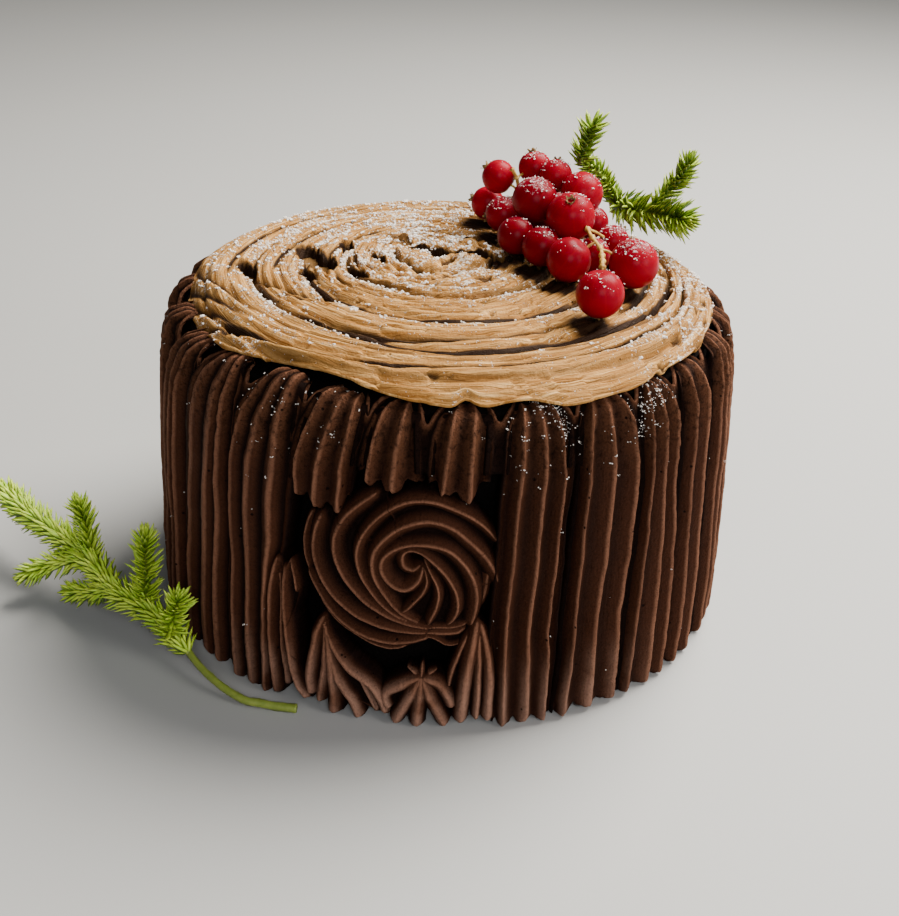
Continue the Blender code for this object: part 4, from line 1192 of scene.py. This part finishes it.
def makeCurrants():
    bm = bmesh.new()
    layers = (bm.verts.layers.float.new("frost"), bm.verts.layers.float_vector.new("skin"),
              bm.verts.layers.float.new("berryShade"))
    letters = list(currants["flowers"])
    for seed, letter in enumerate(letters):
        addBerry(bm, layers, letter, seed)
    addPiece("redcurrants", bm, skinFinish(),
             ["redcurrant_" + letter for letter in letters])
    bm = bmesh.new()
    for seed, letter in enumerate(letters):
        addFlower(bm, letter, seed * 1.7)
    bmesh.ops.remove_doubles(bm, verts=bm.verts, dist=0.000001)
    bmesh.ops.solidify(bm, geom=bm.faces, thickness=dried["thick"] * mm)
    papery, shader, wire = startFinish("driedFlower", Roughness=0.75, Specular_IOR_Level=0.3)
    wireUp(shader, Base_Color=spot(wire, 0.8, 3).between(0.35, 0.65).mix(
        (0.035, 0.018, 0.008), (0.30, 0.20, 0.07)))
    addPiece("currantFlowers", bm, papery)
    woody, shader, wire = startFinish("currantStalk", Roughness=0.5, Specular_IOR_Level=0.4)
    wireUp(shader, Base_Color=spot(wire, 1.2, 3).between(0.3, 0.7).mix(
        (0.34, 0.17, 0.03), (0.62, 0.40, 0.09)))
    for node, path in currants["stalks"].items():
        bm = bmesh.new()
        knobs = len(path) - 1
        addTube(bm, path, 10, 60, lambda share, angle: 0.5 + 0.45 * max(
            0.0, math.cos(math.tau * share * knobs)) ** 6 + 0.10 * rough(share * 20, angle, 0, 1))
        stops = asVectors(path)
        for letter in currants["held"][node]:
            centre, radius = berryBall(letter)
            near = min((softPath(stops, k / 20) for k in range(21)),
                       key=lambda stop: (stop * mm - centre).length)
            reach = near * mm - centre
            touch = (centre + reach.normalized() * min(radius * 0.93, reach.length * 0.98)) / mm
            if (near - touch).length > 0.4:
                arch = (near + touch) / 2 + Vector((0, 0, 0.4))
                addTube(bm, (near, arch, touch), 8, 10,
                        lambda share, angle: 0.34 + 0.28 * abs(2 * share - 1) ** 3)
        closeEnds(bm)
        addPiece(node + "_fine", bm, woody, (node,))


makeCurrants()
print("currants done")


# --- spruce sprigs

# bare stems, and the needled shoots with how far their needles spread
sprigs = {
    "top_spruce": {
        "stem": ((48, 47, 94.6), (45.6, 45, 102.8), (42.4, 42, 107.3), (38.6, 39.5, 110.2),
                 (36.2, 37.5, 113.1)),
        "shoots": (
            (4, ((48.2, 46.6, 97), (45.8, 45, 102), (42.2, 42.2, 107.3),
                   (37.4, 38.6, 111.4))),
            (5, ((35.8, 38.4, 111), (37.2, 36.2, 117.5), (38.9, 34.5, 124.6))),
            (6.6, ((47.6, 45.6, 97.6), (53, 35.5, 98.8), (60.3, 29, 99.6),
                   (65, 23, 100.4))),
            (4.4, ((57, 32.5, 100), (61.4, 32, 106.4), (64, 30, 110.7),
                   (65.6, 29.2, 115.6))))},
    "side_spruce": {
        "stem": ((-34.8, -73.9, 1.3), (-43.8, -72.5, 1.5), (-49.1, -71.3, 2),
                 (-55.9, -66.9, 3.5), (-62.1, -60.6, 5), (-68.7, -52.5, 8),
                 (-76.4, -45.5, 10), (-86.9, -40.8, 13)),
        "shoots": (
            (5.6, ((-64.2, -58.7, 6), (-71, -50.5, 8.6), (-80, -44, 11),
                   (-87, -40.8, 13))),
            (5.6, ((-86.9, -40.8, 13), (-99.1, -25.6, 15), (-117.5, -9.4, 17),
                   (-129.8, 4.6, 17.9))),
            (5.2, ((-77.8, -43.6, 10.5), (-77.6, -43.1, 20), (-77.1, -42.2, 31))),
            (4.8, ((-69.9, -54.4, 8.5), (-67.9, -57.1, 16), (-65.8, -58.3, 22.6))),
            (4.6, ((-95.5, -29, 14.5), (-97.4, -24.5, 22), (-99.6, -22.9, 29))),
            (4.6, ((-96.8, -28, 14.5), (-106.7, -26, 11.5), (-115, -27.8, 8.4))),
            (4.2, ((-88.5, -40, 12.8), (-94.8, -35.6, 8.6), (-101.5, -31.6, 6))))},
}
needles = {
    "gap": 0.16, "lean": 56.0, "wide": 0.62, "thick": 0.36, "reach": 1.04, "bend": 0.7,
    "sides": 4, "widths": (0.6, 1.0, 1.0, 0.78, 0.14), "turn": 137.5, "lowest": 0.4,
}


def pastBounds(far):
    # inside the cake's wall, past the left end or over the top of the solids
    return math.hypot(far.x, far.y) < 80.4 and far.z < 86 or far.x < -133.0 or far.z > 126.8


def needleMesh():
    # one flat needle, a unit long, bending a little towards its shoot's tip
    bm = bmesh.new()
    tip = bm.verts.layers.float.new("tip")
    widths, sides = needles["widths"], needles["sides"]
    for step, row in enumerate(gridRows(bm, sides, len(widths) - 1)):
        share = step / (len(widths) - 1)
        for column, vert in enumerate(row):
            angle = math.tau * column / sides
            x = math.cos(angle) * widths[step] * needles["wide"]
            y = math.sin(angle) * widths[step] * needles["thick"] - needles["bend"] * share * share
            vert.co = (x * mm, y * mm, share)
            vert[tip] = share
    closeEnds(bm)
    return meshFrom("needle", bm)


# the greens are scaled by the second argument, which brightens a sprig as painted light
def spruceFinish(name, gain):
    material, shader, wire = startFinish(name, Roughness=0.42, Specular_IOR_Level=0.4)
    tip = painted(wire, "tip")
    dark, mid, light = (scaled(tint, gain) for tint in (
        (0.035, 0.085, 0.005), (0.31, 0.50, 0.02), (0.56, 0.70, 0.06)))
    litTone = spot(wire, 4.0, 2).between(0.3, 0.7).mix(mid, light)
    # painted light and shade: needles turned up take the lighter greens, needles turned down the
    # dark green
    tone = painted(wire, "sky").between(0.25, 0.85).mix(dark, litTone)
    tone = (tip.between(0.85, 1.0) * 0.5).mix(tone, (0.45, 0.45, 0.08))
    stem = spot(wire, 1.5, 3).mix((0.13, 0.20, 0.02), (0.30, 0.34, 0.06))
    tone = (1 - tip.between(-1.0, -0.5)).mix(tone, stem)
    wireUp(shader, Base_Color=tone, Normal=bump(wire, spot(wire, 0.5, 2), 0.15, 0.6))
    return material


def makeSprig(node, sprig, needle, finish, seed):
    shuffle = random.Random(seed)
    bm = bmesh.new()
    tip = bm.verts.layers.float.new("tip")
    sky = bm.verts.layers.float.new("sky")
    addTube(bm, sprig["stem"], 10, 90, lambda share, angle: (1.15 - 0.35 * share) * (
        1 + 0.10 * math.cos(angle * 5 + share * 40)
        + 0.16 * rough(share * 60, angle * 1.5, seed, 1)))
    for _, path in sprig["shoots"]:
        addTube(bm, path, 6, 20, lambda share, angle: 0.75 - 0.4 * share)
    closeEnds(bm)
    for vert in bm.verts:
        vert[tip] = -1.0
    for spread, path in sprig["shoots"]:
        stops = asVectors(path)
        places = [softPath(stops, k / 20) for k in range(21)]
        length = sum((there - here).length for here, there in zip(places, places[1:]))
        count = int(length / needles["gap"])
        for number in range(count):
            share = (number + shuffle.random()) / count
            place = softPath(stops, share)
            run = heading(stops, share, 0.02)
            side = run.cross(slant).normalized().cross(run)
            angle = math.radians(needles["turn"] * number + shuffle.uniform(-15, 15))
            out = Matrix.Rotation(angle, 3, run) @ side
            end = ease(0.80, 1.0, share)
            lean = math.radians(needles["lean"] + shuffle.uniform(-8, 8)) * (1 - 0.62 * end)
            long = spread * needles["reach"] / math.sin(math.radians(needles["lean"]))
            long *= shuffle.uniform(0.80, 1.04)
            long *= (0.80 + 0.20 * ease(0.0, 0.15, share)) * (1 - 0.35 * end)
            way = run * math.cos(lean) + out * math.sin(lean)
            if place.z + way.z * long < needles["lowest"]:
                way.z = (needles["lowest"] - place.z) / long
                way.normalize()
            if pastBounds(place + way * long):
                continue
            across = way.cross(run).normalized()
            turn = Matrix((across, across.cross(way) * -1, way)).transposed().to_4x4()
            put = Matrix.Translation(place * mm) @ turn @ Matrix.Diagonal((1, 1, long * mm, 1))
            needle.transform(put)
            bm.from_mesh(needle)
            needle.transform(put.inverted())
    bm.normal_update()
    # faces turned up get painted light and faces turned down painted shade in the needles' finish
    for vert in bm.verts:
        vert[sky] = 0.5 + 0.5 * vert.normal.z
    addPiece(node + "_fine", bm, finish, (node,))


needle = needleMesh()
for seed, (node, sprig) in enumerate(sprigs.items()):
    # painted light: the side sprig's greens are made 1.4 times lighter, since it lies in the
    # cake's shadow
    makeSprig(node, sprig, needle, spruceFinish(node + "Needles", 1.0 + 0.4 * seed), 11 + seed)
bpy.data.meshes.remove(needle)
print("sprigs done")


# --- icing sugar

sugar = {
    "mocha": {"count": 9800, "small": 0.12, "large": 0.44, "clump": (1, 1, 2, 4, 8)},
    "bark": {"count": 1700, "small": 0.08, "large": 0.24, "clump": (1, 1, 1, 2)},
    "fruit": {"count": 1500, "small": 0.09, "large": 0.26, "clump": (1, 1, 2, 4)},
}
grainStray, grainFlat, grainUp = 0.35, 0.7, 0.35  # spread in a clump, thickness, height above it


def scatterSugar(name, spots, plan, finish, seed):
    shuffle = random.Random(seed)
    grain = bmesh.new()
    bmesh.ops.create_icosphere(grain, subdivisions=1, radius=1.0)
    for vert in grain.verts:
        vert.co *= shuffle.uniform(0.8, 1.15)
    template = meshFrom("grain", grain)
    bm = bmesh.new()
    seeds = shuffle.choices([place for place, _ in spots], [weight for _, weight in spots],
                            k=plan["count"] // 2)
    chosen = []
    while len(chosen) < plan["count"]:
        chosen += [shuffle.choice(seeds)] * shuffle.choice(plan["clump"])
    for place in chosen:
        size = blend(plan["small"], plan["large"], shuffle.random() ** 2.2) * mm
        angle = shuffle.uniform(0, math.tau)
        turn = Matrix.Rotation(angle, 4, Vector((shuffle.random(), shuffle.random(), 1)))
        stray = Vector((shuffle.gauss(0, grainStray), shuffle.gauss(0, grainStray), 0)) * mm
        put = Matrix.Translation(place + stray + Vector((0, 0, size * grainUp)))
        put = put @ turn @ Matrix.Diagonal((size, size, size * grainFlat, 1))
        template.transform(put)
        bm.from_mesh(template)
        template.transform(put.inverted())
    bpy.data.meshes.remove(template)
    addPiece(name, bm, finish)


icing, _, _ = startFinish("icingSugar", Base_Color=(0.90, 0.86, 0.81, 1.0), Roughness=0.75,
                          Specular_IOR_Level=0.3)
for seed, (kind, spots) in enumerate(sugarSpots.items()):
    scatterSugar("sugarOn" + kind.title(), spots, sugar[kind], icing, 70 + seed)
print("sugar sifted")


# --- the stage: floor, light and camera

floorMesh = bmesh.new()
bmesh.ops.create_grid(floorMesh, x_segments=1, y_segments=1, size=3.0)
floor = addObject("floor", meshFrom("floor", floorMesh))
pale, floorShader, floorWire = startFinish("paleFloor", Roughness=0.6)
floorTone = spot(floorWire, 400, 2).mix((0.40, 0.40, 0.39), (0.43, 0.43, 0.42))
wireUp(floorShader, Base_Color=floorTone)
floor.data.materials.append(pale)

studio = {
    "key": {"place": (0.40, 0.30, 0.74), "size": 0.66, "power": 29.0, "tint": (1.0, 0.955, 0.88)},
    "side": {"place": (0.80, -0.55, 0.42), "size": 0.40, "power": 4.6, "tint": (1.0, 0.97, 0.94)},
    "fill": {"place": (0.14, -1.0, 0.62), "size": 0.5, "power": 5.4, "tint": (0.97, 0.98, 1.0)},
}
worldLight = {"Color": (0.93, 0.95, 0.97, 1), "Strength": 0.11}
lampAim = Vector((0, 0, 0.05))
for name, lamp in studio.items():
    data = bpy.data.lights.new(name, "AREA")
    data.shape = "DISK"
    data.size = lamp["size"]
    data.energy = lamp["power"]
    data.color = lamp["tint"]
    light = addObject(name, data)
    light.location = lamp["place"]
    light.rotation_euler = (lampAim - light.location).to_track_quat("-Z", "Y").to_euler()
world = bpy.data.worlds.new("studio")
world.use_nodes = True
for key, value in worldLight.items():
    world.node_tree.nodes["Background"].inputs[key].default_value = value
bpy.context.scene.world = world

view = {"place": (0.0, -0.3548, 0.2212), "pitch": 27.7, "yaw": 0.26, "roll": 2.04, "lens": 55.0}
camera = addObject("camera", bpy.data.cameras.new("camera"))
camera.data.lens = view["lens"]
camera.data.sensor_width = 36.0
camera.data.clip_start = 0.01
aim = Matrix.Translation(view["place"])
for degrees, axis in ((-view["yaw"], "Z"), (90 - view["pitch"], "X"), (view["roll"], "Z")):
    aim = aim @ Matrix.Rotation(math.radians(degrees), 4, axis)
camera.matrix_world = aim
bpy.context.scene.camera = camera
